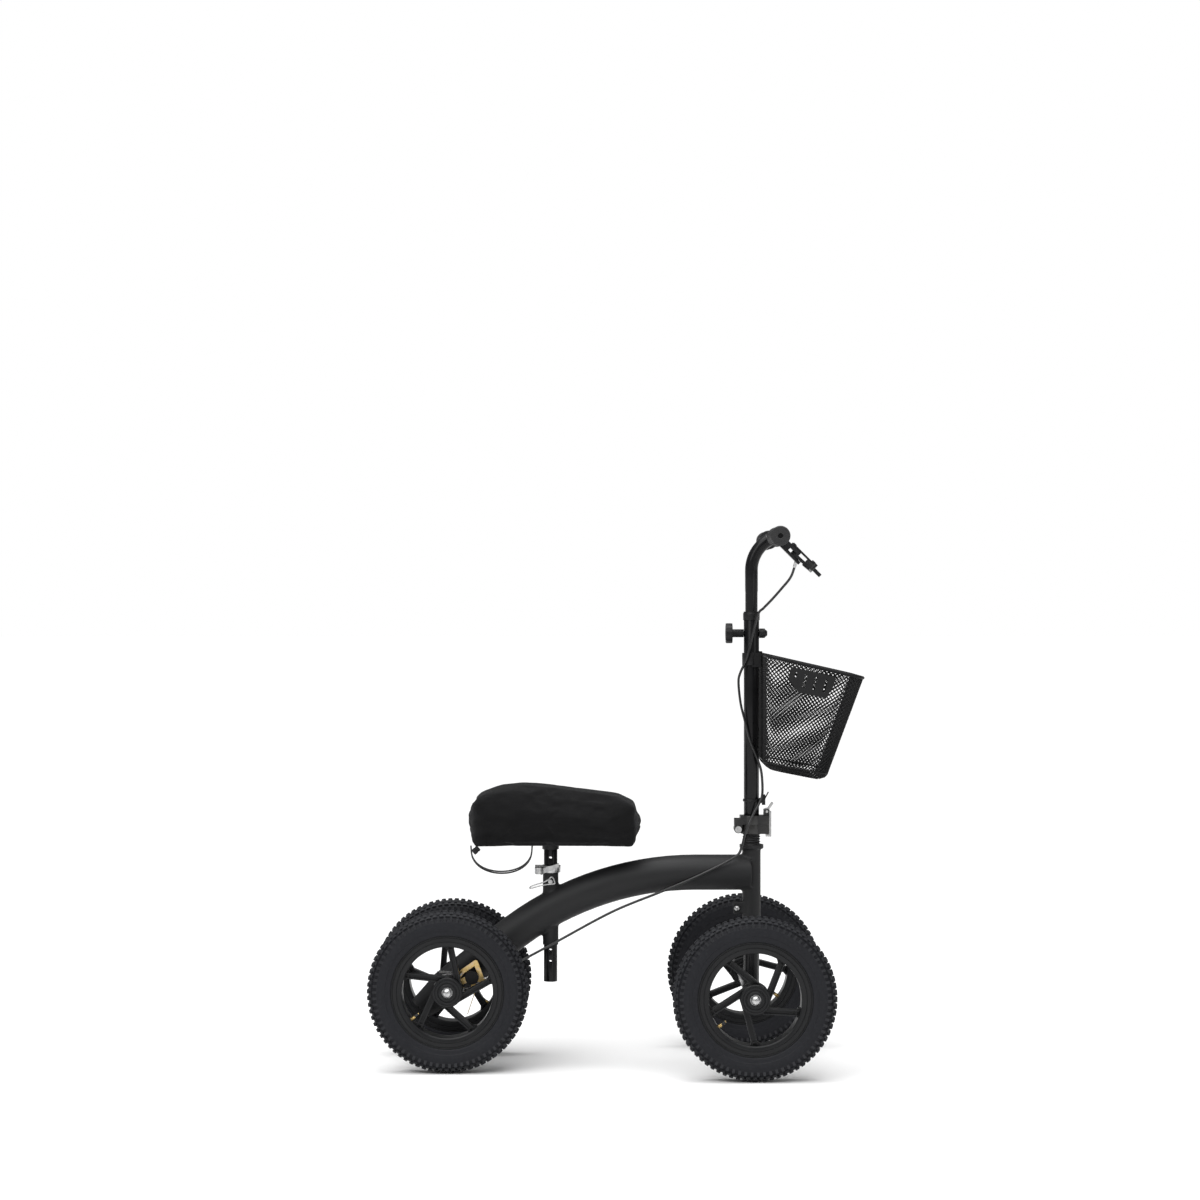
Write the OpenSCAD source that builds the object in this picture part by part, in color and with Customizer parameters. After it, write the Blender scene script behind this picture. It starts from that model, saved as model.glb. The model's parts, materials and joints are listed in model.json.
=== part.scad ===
// Knee scooter: four wheels, a curved main tube, a padded knee rest on a sliding post,
// and a folding steering stem with a basket and a hand brake.
// X points forwards, Y to the rider's left and Z up. The origin is on the floor,
// in the plane of symmetry and half way along the whole scooter.

/* [Wheels] */
// Outside diameter of each tyre
tyre_d = 316; // [312:1:318]
// Width of each tyre
tyre_w = 57; // [56:0.5:58]
// Distance between the front and rear axles
wheelbase = 592; // [586:1:600]
// Distance between the middles of the two front tyres
front_track = 400; // [380:2:440]
// Distance between the middles of the two rear tyres
rear_track = 210; // [208:2:220]
// Number of spokes in each rim
spokes = 5; // [3:1:6]
// Number of tread blocks in one row round a tyre
tread_blocks = 36; // [24:4:48]

/* [Frame] */
// Outside diameter of the main tube
main_d = 70; // [66:1:72]
// Height of the straight front part of the main tube
main_z = 379; // [376:1:381]
// Radius of the bend of the main tube
main_bend_r = 600; // [590:5:610]
// Outside diameter of the head tube
head_d = 36.5; // [36:0.5:38]
// Outside diameter of the seat tube
seat_tube_d = 31.6; // [31.4:0.2:32]
// Outside diameter of the seat post
post_d = 26.8; // [26:0.2:27]

/* [Knee rest] */
// Length of the knee pad
pad_l = 336; // [320:2:344]
// Width of the knee pad
pad_w = 186; // [170:2:200]
// Height of the knee pad at its crown
pad_h = 108; // [90:1:110]

/* [Steering] */
// Outside diameter of the stem tube
stem_d = 30.4; // [30:0.2:31]
// Outside diameter of the handlebar tube that slides in the stem tube
bar_stem_d = 25.4; // [25:0.2:25.6]
// Height of the grips above the floor
grip_z = 1041; // [1036:1:1046]
// Width over the ends of the two grips
bar_w = 470; // [450:2:500]
// Outside diameter of each grip
grip_d = 36; // [34:1:38]

/* [Basket] */
// Width of the basket at its rim
basket_top_w = 290; // [270:2:300]
// Width of the basket at its floor
basket_floor_w = 240; // [220:2:250]

/* [Hidden] */
$fn = 64;
WHEELS = ["rear_right", "rear_left", "front_right", "front_left"];

// Small gap between two parts that don't touch
gap = 0.2;
// Gap all round between a shaft and the hole that it turns or slides in
running = 0.05;

// Places along the scooter
steer_x = 271.5;
trail = 4.5;
front_x = steer_x - trail;
rear_x = front_x - wheelbase;
seat_x = -127;
axle_z = tyre_d / 2;
axle_d = 12;

// Main tube
main_wall = 2.5;
bend_start_x = steer_x - 111.5;
bend_z = main_z - main_bend_r;
bend_dx = bend_start_x - rear_x;
bend_dz = axle_z - bend_z;
bend_sweep = atan2(bend_dx, bend_dz) - acos(main_bend_r / norm([bend_dx, bend_dz]));
bend_end = [bend_start_x - main_bend_r * sin(bend_sweep), bend_z + main_bend_r * cos(bend_sweep)];
tail_straight = norm([bend_end.x - rear_x, bend_end.y - axle_z]) + 12;
tail_taper = 64;
tail_d = 48;

// Head tube, headset and fork
head_bottom_z = 262;
head_top_z = 434;
cup_d = 48;
headset_d = 42;
headset_h = 6.5;
steerer_d = 25.4;
fork_d = 30.8;
crossbar_d = 32;
axle_boss_d = 20;

// Seat tube, post and pin
seat_tube_bottom_z = 234;
seat_tube_top_z = 392;
pin_z = 362.4;
pin_pitch = 22.8;
pin_hole_d = 6.4;
post_bottom_z = 163;
post_top_z = 435.8;
clamp_z = 379;
clamp_h = 14;
clamp_lug_x = seat_x - 24;

// Knee rest
bracket_z = 436;
board_z = bracket_z + 3;
board_t = 6;
pad_z = board_z + 2;
pad_x = seat_x + 8;
loop_back = pad_l / 2 - 65;

// Folding hinge
hinge_x = steer_x - 27;
hinge_z = 465.5;
hinge_eye_d = 16;
hinge_pin_d = 8;
split_z = 474;
hinge_front_x = steer_x + 34;
latch_x = steer_x + 30;
latch_z = 500;
latch_toe_z = 451;

// Stem and handlebar
stem_bottom_z = 482;
stem_top_z = 879;
collar_top_z = 896;
knob_z = 853;
bar_bend_z = 978;
bar_bend_r = 70;
bar_bend_sweep = 58;
bar_x = steer_x + 42;
bar_d = 22.2;
height_down = 80;
height_up = 100;

// Brake lever, in a frame that leans down and forwards from the bar
lever_tilt = 45;
lever_pivot = [46, -104];
lever_hinge_d = 5;

// Rear brake, measured from the rear axle
brake_pivot = [45, 22];
adjuster_at = [66, 13];
adjuster_tilt = 28;
cable_d = 5;
cable_end_y = -54;

// Basket outline in the side view
basket_back_x = steer_x + 21;
basket_rim_back = [basket_back_x, 811];
basket_rim_front = [482.5, 768];
basket_floor_front = [408.5, 576];
basket_floor_back = [basket_back_x, 599];
basket_wall = 2;

// Wheel parts, round an axis along Y
rim_r = 110;
rim_inner_r = 88;
rim_w = 44;
hub_d = 58;
hub_w = 46;
bearing_d = 28;
bearing_w = 8;
tyre_r = tyre_d / 2;
land_r = tyre_r - 6.5;
tube_ring_r = tyre_r - 29;
tube_r = 19.5;
valve_d = 6.5;
valve_angle = 218;

// ---------- Helpers ----------

module along_y(y0, y1, d) {
    translate([0, y0, 0]) rotate([-90, 0, 0]) cylinder(d = d, h = y1 - y0);
}

module along_x(x0, x1, d) {
    translate([x0, 0, 0]) rotate([0, 90, 0]) cylinder(d = d, h = x1 - x0);
}

module ring_y(y0, y1, d_out, d_in) {
    difference() {
        along_y(y0, y1, d_out);
        along_y(y0 - 1, y1 + 1, d_in);
    }
}

module ring_z(z0, z1, d_out, d_in) {
    difference() {
        translate([0, 0, z0]) cylinder(d = d_out, h = z1 - z0);
        translate([0, 0, z0 - 1]) cylinder(d = d_in, h = z1 - z0 + 2);
    }
}

module box(low, high) {
    translate(low) cube(high - low);
}

// A round bar from one point to another
module rod(from, to, d) {
    way = to - from;
    length = norm(way);
    translate(from)
        rotate([0, acos(way.z / length), atan2(way.y, way.x)])
            cylinder(d = d, h = length);
}

// Round bars through a row of points, with a slightly larger ball at each bend
module cable(points, d) {
    for (i = [0 : len(points) - 2]) rod(points[i], points[i + 1], d);
    for (i = [1 : len(points) - 2]) translate(points[i]) sphere(d = d * 1.06);
}

// A flat bar with round ends between two [x, z] points
module flat_bar(from, to, width, y0, y1) {
    translate([0, y1, 0]) rotate([90, 0, 0]) linear_extrude(y1 - y0) hull()
        for (end = [from, to]) translate(end) circle(d = width, $fn = 32);
}

// ---------- Frame ----------

// The main tube's hollow stretches: straight, bent, straight and tapered to the tail
module main_tube() {
    bore_d = main_d - 2 * main_wall;
    tail_bore_d = tail_d - 2 * main_wall;
    lap = 0.1;
    translate([bend_start_x, 0, main_z]) difference() {
        along_x(0, steer_x - bend_start_x, main_d);
        along_x(-1, steer_x - bend_start_x + 1, bore_d);
    }
    translate([bend_start_x, 0, bend_z])
        rotate([90, 0, 0])
            rotate([0, 0, 90])
                rotate_extrude(angle = bend_sweep, $fn = 120) translate([main_bend_r, 0]) difference() {
                    circle(d = main_d);
                    circle(d = bore_d);
                }
    translate([bend_end.x, 0, bend_end.y])
        rotate([0, -90 - bend_sweep, 0])
            rotate_extrude() polygon([
                [bore_d / 2 - lap, -3],
                [main_d / 2 - lap, -3],
                [main_d / 2 - lap, tail_straight],
                [tail_d / 2, tail_straight + tail_taper],
                [tail_bore_d / 2, tail_straight + tail_taper],
                [bore_d / 2 - lap, tail_straight]
            ]);
}

module at_seat() {
    translate([seat_x, 0, 0]) children();
}

module at_steer() {
    translate([steer_x, 0, 0]) children();
}

module at_rear_axle() {
    translate([rear_x, 0, axle_z]) children();
}

module at_front_axle() {
    translate([front_x, 0, axle_z]) children();
}

module main_frame() {
    color("#36373a") difference() {
        union() {
            main_tube();
            at_steer() {
                translate([0, 0, head_bottom_z]) cylinder(d = head_d, h = head_top_z - head_bottom_z);
                translate([0, 0, head_bottom_z]) cylinder(d = cup_d, h = 8);
                translate([0, 0, head_top_z - 8]) cylinder(d = cup_d, h = 8);
                for (side = [-1, 1])
                    box([-36, side * 9 - 2, 296], [-head_d / 2 + 3, side * 9 + 2, 322]);
            }
            at_seat() translate([0, 0, seat_tube_bottom_z])
                cylinder(d = seat_tube_d, h = seat_tube_top_z - seat_tube_bottom_z);
            at_rear_axle() {
                along_y(-58, 58, 26);
                along_y(-rear_track / 2 + hub_w / 2 + gap, rear_track / 2 - hub_w / 2 - gap, axle_boss_d);
            }
        }
        at_steer() {
            translate([0, 0, head_bottom_z - 1]) cylinder(d = 29, h = head_top_z - head_bottom_z + 2);
            translate([0, 0, head_bottom_z - 1]) cylinder(d = headset_d, h = headset_h + 1);
            translate([0, 0, head_top_z - headset_h]) cylinder(d = headset_d, h = headset_h + 1);
            translate([-29, 0, 309]) along_y(-12, 12, 6);
        }
        at_seat() {
            translate([0, 0, seat_tube_bottom_z - 1])
                cylinder(d = post_d + 2 * running, h = seat_tube_top_z - seat_tube_bottom_z + 2);
            translate([0, 0, pin_z]) along_y(-20, 0, pin_hole_d);
            box([-20, -1, 372], [0, 1, seat_tube_top_z + 1]);
        }
        at_rear_axle() along_y(-rear_track, rear_track, axle_d);
    }
}

module tail_cap() {
    color("#1c1c1e")
        translate([bend_end.x, 0, bend_end.y])
            rotate([0, -90 - bend_sweep, 0])
                translate([0, 0, tail_straight + tail_taper]) {
                    cylinder(d = tail_d, h = 3);
                    translate([0, 0, -6]) cylinder(d = tail_d - 2 * main_wall, h = 7);
                }
}

module headset_bearings() {
    color("silver") at_steer() for (z = [head_bottom_z, head_top_z - headset_h])
        ring_z(z, z + headset_h, headset_d, steerer_d + 2 * running);
}

module steering_stop_bolt() {
    color("silver") translate([steer_x - 29, 0, 309]) {
        along_y(-14, 11, 6);
        along_y(11, 15, 10);
        difference() {
            translate([0, -11, 0]) sphere(d = 12);
            along_y(-11, 0, 14);
        }
    }
}

// A rod right across the scooter that carries two wheels
module axle(track) {
    color("silver") along_y(-track / 2 - hub_w / 2 - 3, track / 2 + hub_w / 2 + 3, axle_d);
}

// Domed nuts on the two ends of an axle
module axle_nuts(track) {
    end_y = track / 2 + hub_w / 2;
    color("silver") for (turn = [0, 180]) rotate([0, 0, turn]) difference() {
        union() {
            along_y(end_y + gap, end_y + 4, 19);
            intersection() {
                translate([0, end_y + 1, 0]) sphere(r = 10.5);
                along_y(end_y + 3, end_y + 12, 18);
            }
        }
        along_y(0, end_y + 3, axle_d);
    }
}

// ---------- Seat clamp and safety pin ----------

module seat_clamp_collar() {
    color("silver") difference() {
        union() {
            at_seat() translate([0, 0, clamp_z]) cylinder(d = seat_tube_d + 8, h = clamp_h);
            box([clamp_lug_x - 7, -8, clamp_z], [seat_x - 14, 8, clamp_z + clamp_h]);
        }
        at_seat() translate([0, 0, clamp_z - 1]) cylinder(d = seat_tube_d, h = clamp_h + 2);
        box([clamp_lug_x - 8, -1.5, clamp_z - 1], [seat_x, 1.5, clamp_z + clamp_h + 1]);
        translate([clamp_lug_x, 0, clamp_z + clamp_h / 2]) along_y(-9, 9, 6 + 2 * gap);
    }
}

module seat_clamp_skewer() {
    color("silver") translate([clamp_lug_x, 0, clamp_z + clamp_h / 2]) {
        along_y(-9.5, 9, 6);
        along_y(-9.5, -8, 11);
        along_y(8, 15, 11);
    }
}

module seat_clamp_lever() {
    color("silver") {
        translate([clamp_lug_x, -16.2, clamp_z + 0.5]) cylinder(d = 13, h = clamp_h - 1);
        translate([seat_x, 0, clamp_z + clamp_h / 2])
            rotate([0, -8, 0])
                rotate([0, 0, 216])
                    rotate_extrude(angle = 92)
                        translate([seat_tube_d / 2 + 6.2, -5]) square([3, 10]);
    }
}

module safety_pin() {
    y = -24;
    color("silver") translate([seat_x, 0, pin_z]) {
        along_y(y, -post_d / 2 - 2 * gap, 5.8);
        along_y(y - 1, y + 2, 9);
        translate([0, y + 1.2, 0]) rotate([90, 0, 0]) linear_extrude(2.4) difference() {
            polygon([[-13, -4.4], [9, -4.4], [3.6, 11]]);
            polygon([[-6.5, -2], [5.4, -2], [2.9, 5]]);
        }
        flat_bar([-11, -3.4], [-40, -6.5], 1.6, y - 0.8, y + 0.8);
    }
}

// ---------- Rear brake ----------

module brake_bracket() {
    arch = [[0, 0], [26, 32], [52, 50], adjuster_at, brake_pivot];
    color("#b39a5a") difference() {
        union() at_rear_axle() {
            for (i = [0 : len(arch) - 2]) flat_bar(arch[i], arch[i + 1], 9, -61, -58);
            flat_bar([0, 0], brake_pivot, 12, -61, -58);
            along_y(-61, -58, 34);
            translate([adjuster_at.x, -54.5, adjuster_at.y])
                rotate([0, -adjuster_tilt, 0])
                    box([-2, -6.5, -6], [2, 6, 6]);
        }
        at_rear_axle() {
            along_y(-70, -50, axle_boss_d);
            translate([brake_pivot.x, 0, brake_pivot.y]) along_y(-70, -50, 8);
            translate([adjuster_at.x, cable_end_y, adjuster_at.y])
                rotate([0, -adjuster_tilt, 0]) {
                    along_x(-10, 10, 7 + 2 * gap);
                    along_x(2, 10, 10 + 2 * gap);
                }
        }
    }
}

module brake_band() {
    color("#8d8d90") at_rear_axle() {
        translate([0, -68, 0]) rotate([90, 0, 0]) rotate([0, 0, 50])
            rotate_extrude(angle = 312) translate([27.6, 0]) square([1.8, 11.5]);
        for (angle = [50, 2])
            rotate([0, -angle, 0]) box([28.5, -78, -1.2], [40, -69.5, 1.2]);
    }
}

module brake_drum() {
    hub_face_y = -rear_track / 2 + hub_w / 2;
    color("#77777a") at_rear_axle() difference() {
        along_y(hub_face_y, -66, 54);
        along_y(hub_face_y + 4, -60, 46);
        along_y(hub_face_y - 1, -60, 24);
    }
}

module brake_pivot_bolt() {
    color("#1c1c1e") at_rear_axle() translate([brake_pivot.x, 0, brake_pivot.y]) {
        along_y(-70, -54, 8);
        along_y(-76, -69, 26);
        along_y(-57.8, -52, 15);
    }
}

module brake_arm() {
    clamp_at = [49, -3];
    color("#b39a5a") at_rear_axle() difference() {
        union() {
            flat_bar(brake_pivot, clamp_at, 9, -67, -62);
            translate([brake_pivot.x, 0, brake_pivot.y]) along_y(-68, -61.5, 18);
            translate([clamp_at.x, 0, clamp_at.y]) along_y(-71, -57, 8);
            rod([51, -59.5, -7], [36, -59.5, -52], 1.6);
        }
        translate([brake_pivot.x, 0, brake_pivot.y]) along_y(-80, -50, 8 + 2 * running);
    }
}

module brake_return_spring() {
    from = [-24, -64.6, 33];
    to = [12, -64.6, 30];
    color("silver") at_rear_axle() difference() {
        rod(from, to, 6);
        rod(from + [-1, 0, 0], to + [1, 0, 0], 4);
    }
}

module brake_cable_adjuster() {
    color("silver") at_rear_axle()
        translate([adjuster_at.x, cable_end_y, adjuster_at.y])
            rotate([0, -adjuster_tilt, 0])
                difference() {
                    union() {
                        along_x(-5, 9, 7);
                        along_x(2, 6, 10);
                    }
                    along_x(-6, 10, 2);
                }
}

module frame_brake_cable() {
    along = [cos(adjuster_tilt), 0, sin(adjuster_tilt)];
    start = [rear_x + adjuster_at.x, cable_end_y, axle_z + adjuster_at.y] + along * 12;
    color("#202022") cable([
        start,
        [-170, -38, 216],
        [-113.5, -28, 245],
        [-4.5, -30, 304],
        [90, -33, 343],
        [168, -39, 377],
        [236, -38, 412],
        [250, -34, 431]
    ], cable_d);
}

// ---------- Knee rest ----------

module seat_post() {
    holes = floor((post_top_z - post_bottom_z - 40) / pin_pitch);
    first = pin_z - pin_pitch * 7;
    color("#141416") at_seat() difference() {
        translate([0, 0, post_bottom_z]) cylinder(d = post_d, h = post_top_z - post_bottom_z);
        translate([0, 0, post_bottom_z - 1]) cylinder(d = post_d - 4.4, h = post_top_z - post_bottom_z + 2);
        for (i = [0 : holes - 1])
            translate([0, 0, first + i * pin_pitch]) along_y(-20, 20, pin_hole_d);
    }
}

module pad_bracket() {
    color("#1c1c1e") at_seat() {
        ring_z(bracket_z - 11, bracket_z, post_d + 6.4, post_d);
        box([-60, -45, bracket_z], [60, 45, board_z]);
    }
}

module pad_board() {
    corner_r = 30;
    half = [pad_l / 2 - 18, pad_w / 2 - 18];
    color("#8a6a42") translate([pad_x, 0, board_z]) {
        box([-half.x + corner_r, -half.y, 0], [half.x - corner_r, half.y, board_t]);
        for (side = [-1, 1]) {
            box([side * (half.x - corner_r / 2) - corner_r / 2, -half.y + corner_r, 0],
                [side * (half.x - corner_r / 2) + corner_r / 2, half.y - corner_r, board_t]);
            for (end = [-1, 1])
                translate([end * (half.x - corner_r), side * (half.y - corner_r), 0])
                    cylinder(r = corner_r, h = board_t);
        }
    }
}

// The cushion in its cover, hollowed underneath for the board
module knee_pad() {
    half = pad_l / 2;
    slope = 22;
    profile = [
        [-half + 6, 0], [-half, 20], [-half + 2, pad_h - 24], [-half + 28, pad_h - 4], [-60, pad_h],
        [20, pad_h - 5], [half - 44, pad_h - slope + 2], [half - 10, pad_h - slope - 16],
        [half, pad_h / 3], [half - 10, 4], [half - 30, 0]
    ];
    color("#1b1b1c") difference() {
        translate([pad_x, pad_w / 2, pad_z]) rotate([90, 0, 0]) linear_extrude(pad_w) polygon(profile);
        box([pad_x - half + 17, -pad_w / 2 + 17, pad_z - 1],
            [pad_x + half - 17, pad_w / 2 - 17, board_z + board_t + gap]);
    }
}

// A cord hanging under the rear end of the pad
module drawstring_loop(y, r) {
    translate([pad_x - loop_back, y, pad_z - 0.7])
        rotate([90, 0, 0])
            rotate([0, 0, 183])
                rotate_extrude(angle = 174) translate([r, 0]) circle(d = 2.4);
}

// Two cords and the lock that slides on them
module pad_drawstring() {
    color("#1b1b1c") {
        drawstring_loop(-62, 58);
        drawstring_loop(-66, 55);
    }
    color("#101011") difference() {
        translate([pad_x - loop_back - 50.5, -64, pad_z - 19])
            rotate([0, -28, 0])
                translate([0, 0, -6]) cylinder(d = 12, h = 13);
        drawstring_loop(-62, 58);
        drawstring_loop(-66, 55);
    }
}

// ---------- Fork and folding hinge ----------

module steering_fork() {
    half = front_track / 2;
    color("#141416") difference() {
        union() {
            at_steer() {
                translate([0, 0, axle_z]) cylinder(d = fork_d, h = head_bottom_z - 4 - axle_z);
                translate([0, 0, head_bottom_z - 4 - gap]) cylinder(d = 38, h = 4);
                translate([0, 0, head_bottom_z - 4]) cylinder(d = steerer_d, h = 472 - head_bottom_z + 4);
            }
            at_front_axle() {
                along_y(-half + 40, half - 40, crossbar_d);
                along_y(-half + hub_w / 2 + gap, half - hub_w / 2 - gap, axle_boss_d);
            }
        }
        at_steer() translate([0, 0, axle_z + 22]) cylinder(d = 20, h = 400);
        at_front_axle() {
            along_y(-half + 46, half - 46, crossbar_d - 5);
            along_y(-half, half, axle_d);
        }
    }
}

// The rubber gaiter between the headset and the hinge
module headset_boot() {
    rings = 3;
    pitch = 6;
    bottom_z = head_top_z + 1;
    color("#1a1a1b") at_steer() difference() {
        union() {
            translate([0, 0, bottom_z]) cylinder(d = 32, h = rings * pitch + 2);
            for (i = [0 : rings - 1])
                translate([0, 0, bottom_z + 3.5 + i * pitch])
                    rotate_extrude() translate([15.5, 0]) circle(d = 4.6);
        }
        translate([0, 0, bottom_z - 1]) cylinder(d = steerer_d, h = rings * pitch + 4);
    }
}

module at_hinge() {
    translate([hinge_x, 0, hinge_z]) children();
}

module hinge_base() {
    bottom_z = 456;
    eye_w = 9;
    color("#2b2b2d") difference() {
        union() {
            at_steer() translate([0, 0, bottom_z]) cylinder(d = 42, h = split_z - bottom_z);
            box([hinge_x, -eye_w, 457.5], [steer_x, eye_w, split_z]);
            box([steer_x, -17, bottom_z], [hinge_front_x, 17, split_z]);
            at_hinge() along_y(-eye_w, eye_w, hinge_eye_d);
        }
        for (side = [-1, 1])
            box([hinge_x - 12, side * 17 - 7.9, 440],
                [hinge_x + hinge_eye_d / 2 + 0.4, side * 17 + 7.9, 490]);
        box([hinge_front_x - 6.5, -6.6, 440], [hinge_front_x + 1, 6.6, 490]);
        at_steer() translate([0, 0, 440]) cylinder(d = steerer_d, h = 60);
        at_hinge() along_y(-20, 20, hinge_pin_d);
    }
}

module hinge_pin() {
    color("silver") at_hinge() {
        along_y(-20, 20, hinge_pin_d);
        along_y(-24, -18.2, 13);
        along_y(18.2, 24, 13);
    }
}

module hinge_head() {
    top_z = 492;
    ear_in = 9.2;
    ear_out = 18;
    color("#3a3833") difference() {
        union() {
            at_steer() translate([0, 0, split_z + gap]) cylinder(d = 42, h = top_z - split_z - gap);
            box([hinge_x + 4, -17, split_z + gap], [hinge_front_x, 17, top_z]);
            at_hinge() for (side = [-1, 1]) {
                mid = side * (ear_in + ear_out) / 2;
                half = (ear_out - ear_in) / 2;
                along_y(mid - half, mid + half, hinge_eye_d);
                box([-7, mid - half, 0], [7.8, mid + half, 20]);
                box([-7, mid - half, split_z + gap - hinge_z], [20, mid + half, 20]);
            }
            for (side = [-1, 1])
                box([latch_x - 6, side * 8.5 - 2, top_z - 4], [latch_x + 5, side * 8.5 + 2, latch_z + 4]);
        }
        at_hinge() {
            along_y(-ear_in, ear_in, hinge_eye_d + 1);
            along_y(-20, 20, hinge_pin_d + 2 * running);
        }
        box([hinge_front_x - 4.5, -6.6, split_z], [hinge_front_x + 1, 6.6, top_z + 1]);
        at_steer() {
            translate([0, 0, stem_bottom_z]) cylinder(d = stem_d, h = 30);
            translate([0, 0, split_z - 1]) cylinder(d = 20, h = 30);
        }
        translate([latch_x, 0, latch_z]) along_y(-12, 12, lever_hinge_d + 2 * running);
    }
}

module latch_lever() {
    arm_x = hinge_front_x + 0.9;
    color("silver") {
        translate([latch_x, 0, latch_z]) {
            along_y(-6, 6, 13);
            along_y(-11.5, 11.5, lever_hinge_d);
        }
        box([arm_x, -6, latch_toe_z], [arm_x + 4.2, 6, latch_z]);
        box([hinge_front_x - 5.9, -6, latch_toe_z - 1], [arm_x + 4.2, 6, latch_toe_z + 3]);
        flat_bar([latch_x, latch_z], [latch_x + 11, latch_z + 16], 4, -6, 6);
    }
}

// ---------- Stem ----------

module stem_tube() {
    color("#101012") at_steer() difference() {
        translate([0, 0, stem_bottom_z]) cylinder(d = stem_d, h = stem_top_z - stem_bottom_z);
        translate([0, 0, stem_bottom_z - 1])
            cylinder(d = bar_stem_d + 2 * running, h = stem_top_z - stem_bottom_z + 2);
        translate([0, 0, knob_z]) along_x(-20, 20, 8);
    }
}

module stem_collar() {
    color("#161618") at_steer() {
        ring_z(stem_top_z, collar_top_z - 3, 33, bar_stem_d + 2 * running);
        ring_z(collar_top_z - 3, collar_top_z, 31, bar_stem_d + 2 * running);
    }
}

module basket_bracket() {
    color("#161618") at_steer() difference() {
        union() {
            translate([0, 0, 790]) cylinder(d = 37, h = 24);
            box([0, -18, 786], [18.4, 18, 815]);
        }
        translate([0, 0, 780]) cylinder(d = stem_d, h = 40);
        box([-20, -1, 780], [0, 1, 820]);
    }
}

module stem_brake_cable() {
    color("#202022") translate([steer_x, 0, 0]) {
        cable([
            [-9, -20.5, 806],
            [-22.5, -10, 775],
            [-26, -6, 755],
            [-22, -8, 715],
            [-15, -13, 685],
            [-3, -19.5, 640],
            [12.5, -17.5, 600],
            [19.5, -12, 575],
            [21, -11.5, 535],
            [13.5, -18.5, 515],
            [5, -22.5, 501]
        ], cable_d);
    }
}

// ---------- Handlebar ----------

module handlebar() {
    bottom_z = knob_z - height_up - 53;
    bend_x = steer_x + bar_bend_r;
    neck_end = [
        bend_x - bar_bend_r * cos(bar_bend_sweep),
        0,
        bar_bend_z + bar_bend_r * sin(bar_bend_sweep)
    ];
    tube_end = bar_w / 2 - 4;
    slot_low = knob_z - height_up;
    slot_high = knob_z + height_down;
    color("#101012") difference() {
        union() {
            at_steer() translate([0, 0, bottom_z]) cylinder(d = bar_stem_d, h = bar_bend_z - bottom_z);
            translate([bend_x, 0, bar_bend_z])
                rotate([90, 0, 0])
                    rotate([0, 0, 180 - bar_bend_sweep])
                        rotate_extrude(angle = bar_bend_sweep)
                            translate([bar_bend_r, 0]) circle(d = bar_stem_d);
            rod(neck_end, [bar_x, 0, grip_z], bar_stem_d);
            translate([bar_x, 0, grip_z]) along_y(-tube_end, tube_end, bar_d);
        }
        at_steer() {
            translate([0, 0, bottom_z - 1]) cylinder(d = bar_stem_d - 5, h = bar_bend_z - bottom_z);
            box([-20, -4.5, slot_low], [20, 4.5, slot_high]);
            for (z = [slot_low, slot_high]) translate([0, 0, z]) along_x(-20, 20, 9);
        }
        translate([bar_x, 0, grip_z]) for (side = [-1, 1])
            along_y((side - 1) * tube_end / 2 - side * 20, (side + 1) * tube_end / 2 + 1, bar_d - 4.4);
    }
}

module height_knob() {
    color("#161618") translate([steer_x, 0, knob_z]) {
        along_x(-51, -38, 39);
        along_x(-38, -stem_d / 2 - 0.5, 16);
        along_x(-38, 24, 8 - 2 * running);
    }
}

module height_nut() {
    color("#161618") translate([steer_x, 0, knob_z]) difference() {
        union() {
            along_x(stem_d / 2 + 0.4, stem_d / 2 + 11, 19);
            translate([stem_d / 2 + 11, 0, 0]) rotate([0, 90, 0]) cylinder(d1 = 17, d2 = 9, h = 5);
        }
        along_x(0, 25, 8);
    }
}

module grips() {
    end_y = bar_w / 2;
    grip_l = 116;
    color("#1a1a1a") translate([bar_x, 0, grip_z]) for (turn = [0, 180]) rotate([0, 0, turn]) difference() {
        union() {
            along_y(end_y - grip_l, end_y, grip_d - 3);
            along_y(end_y - grip_l, end_y - grip_l + 5, grip_d + 2);
            along_y(end_y - 5, end_y, grip_d);
        }
        along_y(0, end_y - 4, bar_d);
        along_y(0, end_y + 1, 6);
    }
}

// The brake lever's own frame: X runs down and forwards away from the bar
module at_lever() {
    translate([bar_x, 0, grip_z]) rotate([0, lever_tilt, 0]) children();
}

// A bar with round ends between two [x, y] points, upright along Z
module lever_bar(from, to, width, z0, z1) {
    translate([0, 0, z0]) linear_extrude(z1 - z0) hull()
        for (end = [from, to]) translate(end) circle(d = width, $fn = 32);
}

module brake_perch() {
    color("#161618") at_lever() {
        difference() {
            union() {
                along_y(-113, -95, 33);
                box([8, -113, -7], [56, -95, 12]);
                box([50, -113, -7], [68, -95, -1.4]);
            }
            along_y(-120, -90, bar_d);
            box([34, -114, -1.2], [60, -94, 5.2]);
        }
        translate([lever_pivot.x, lever_pivot.y, -7]) cylinder(d = lever_hinge_d, h = 19);
        translate([62, 0, -4]) ring_y(-95, -79, 6, 2);
    }
}

module brake_lever() {
    knee = [76, -124];
    bow = [91, -146];
    tip = [88, -204];
    color("#161618") at_lever() difference() {
        union() {
            lever_bar(lever_pivot, knee, 10, -1, 5);
            lever_bar(knee, bow, 7, -3.5, 12);
            lever_bar(bow, tip, 7, -3.5, 12);
            lever_bar([88, -138], [109, -136], 7, 2, 9);
        }
        translate([lever_pivot.x, lever_pivot.y, -5]) cylinder(d = lever_hinge_d + 2 * running, h = 20);
    }
}

module parking_catch() {
    color("#161618") at_lever() {
        lever_bar([36, -104], [89, -108], 12, 12.4, 16);
        translate([86, -108, 16]) cylinder(d = 9, h = 3);
        translate([36, -104, 16]) cylinder(d = 8, h = 1.5);
    }
}

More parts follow.
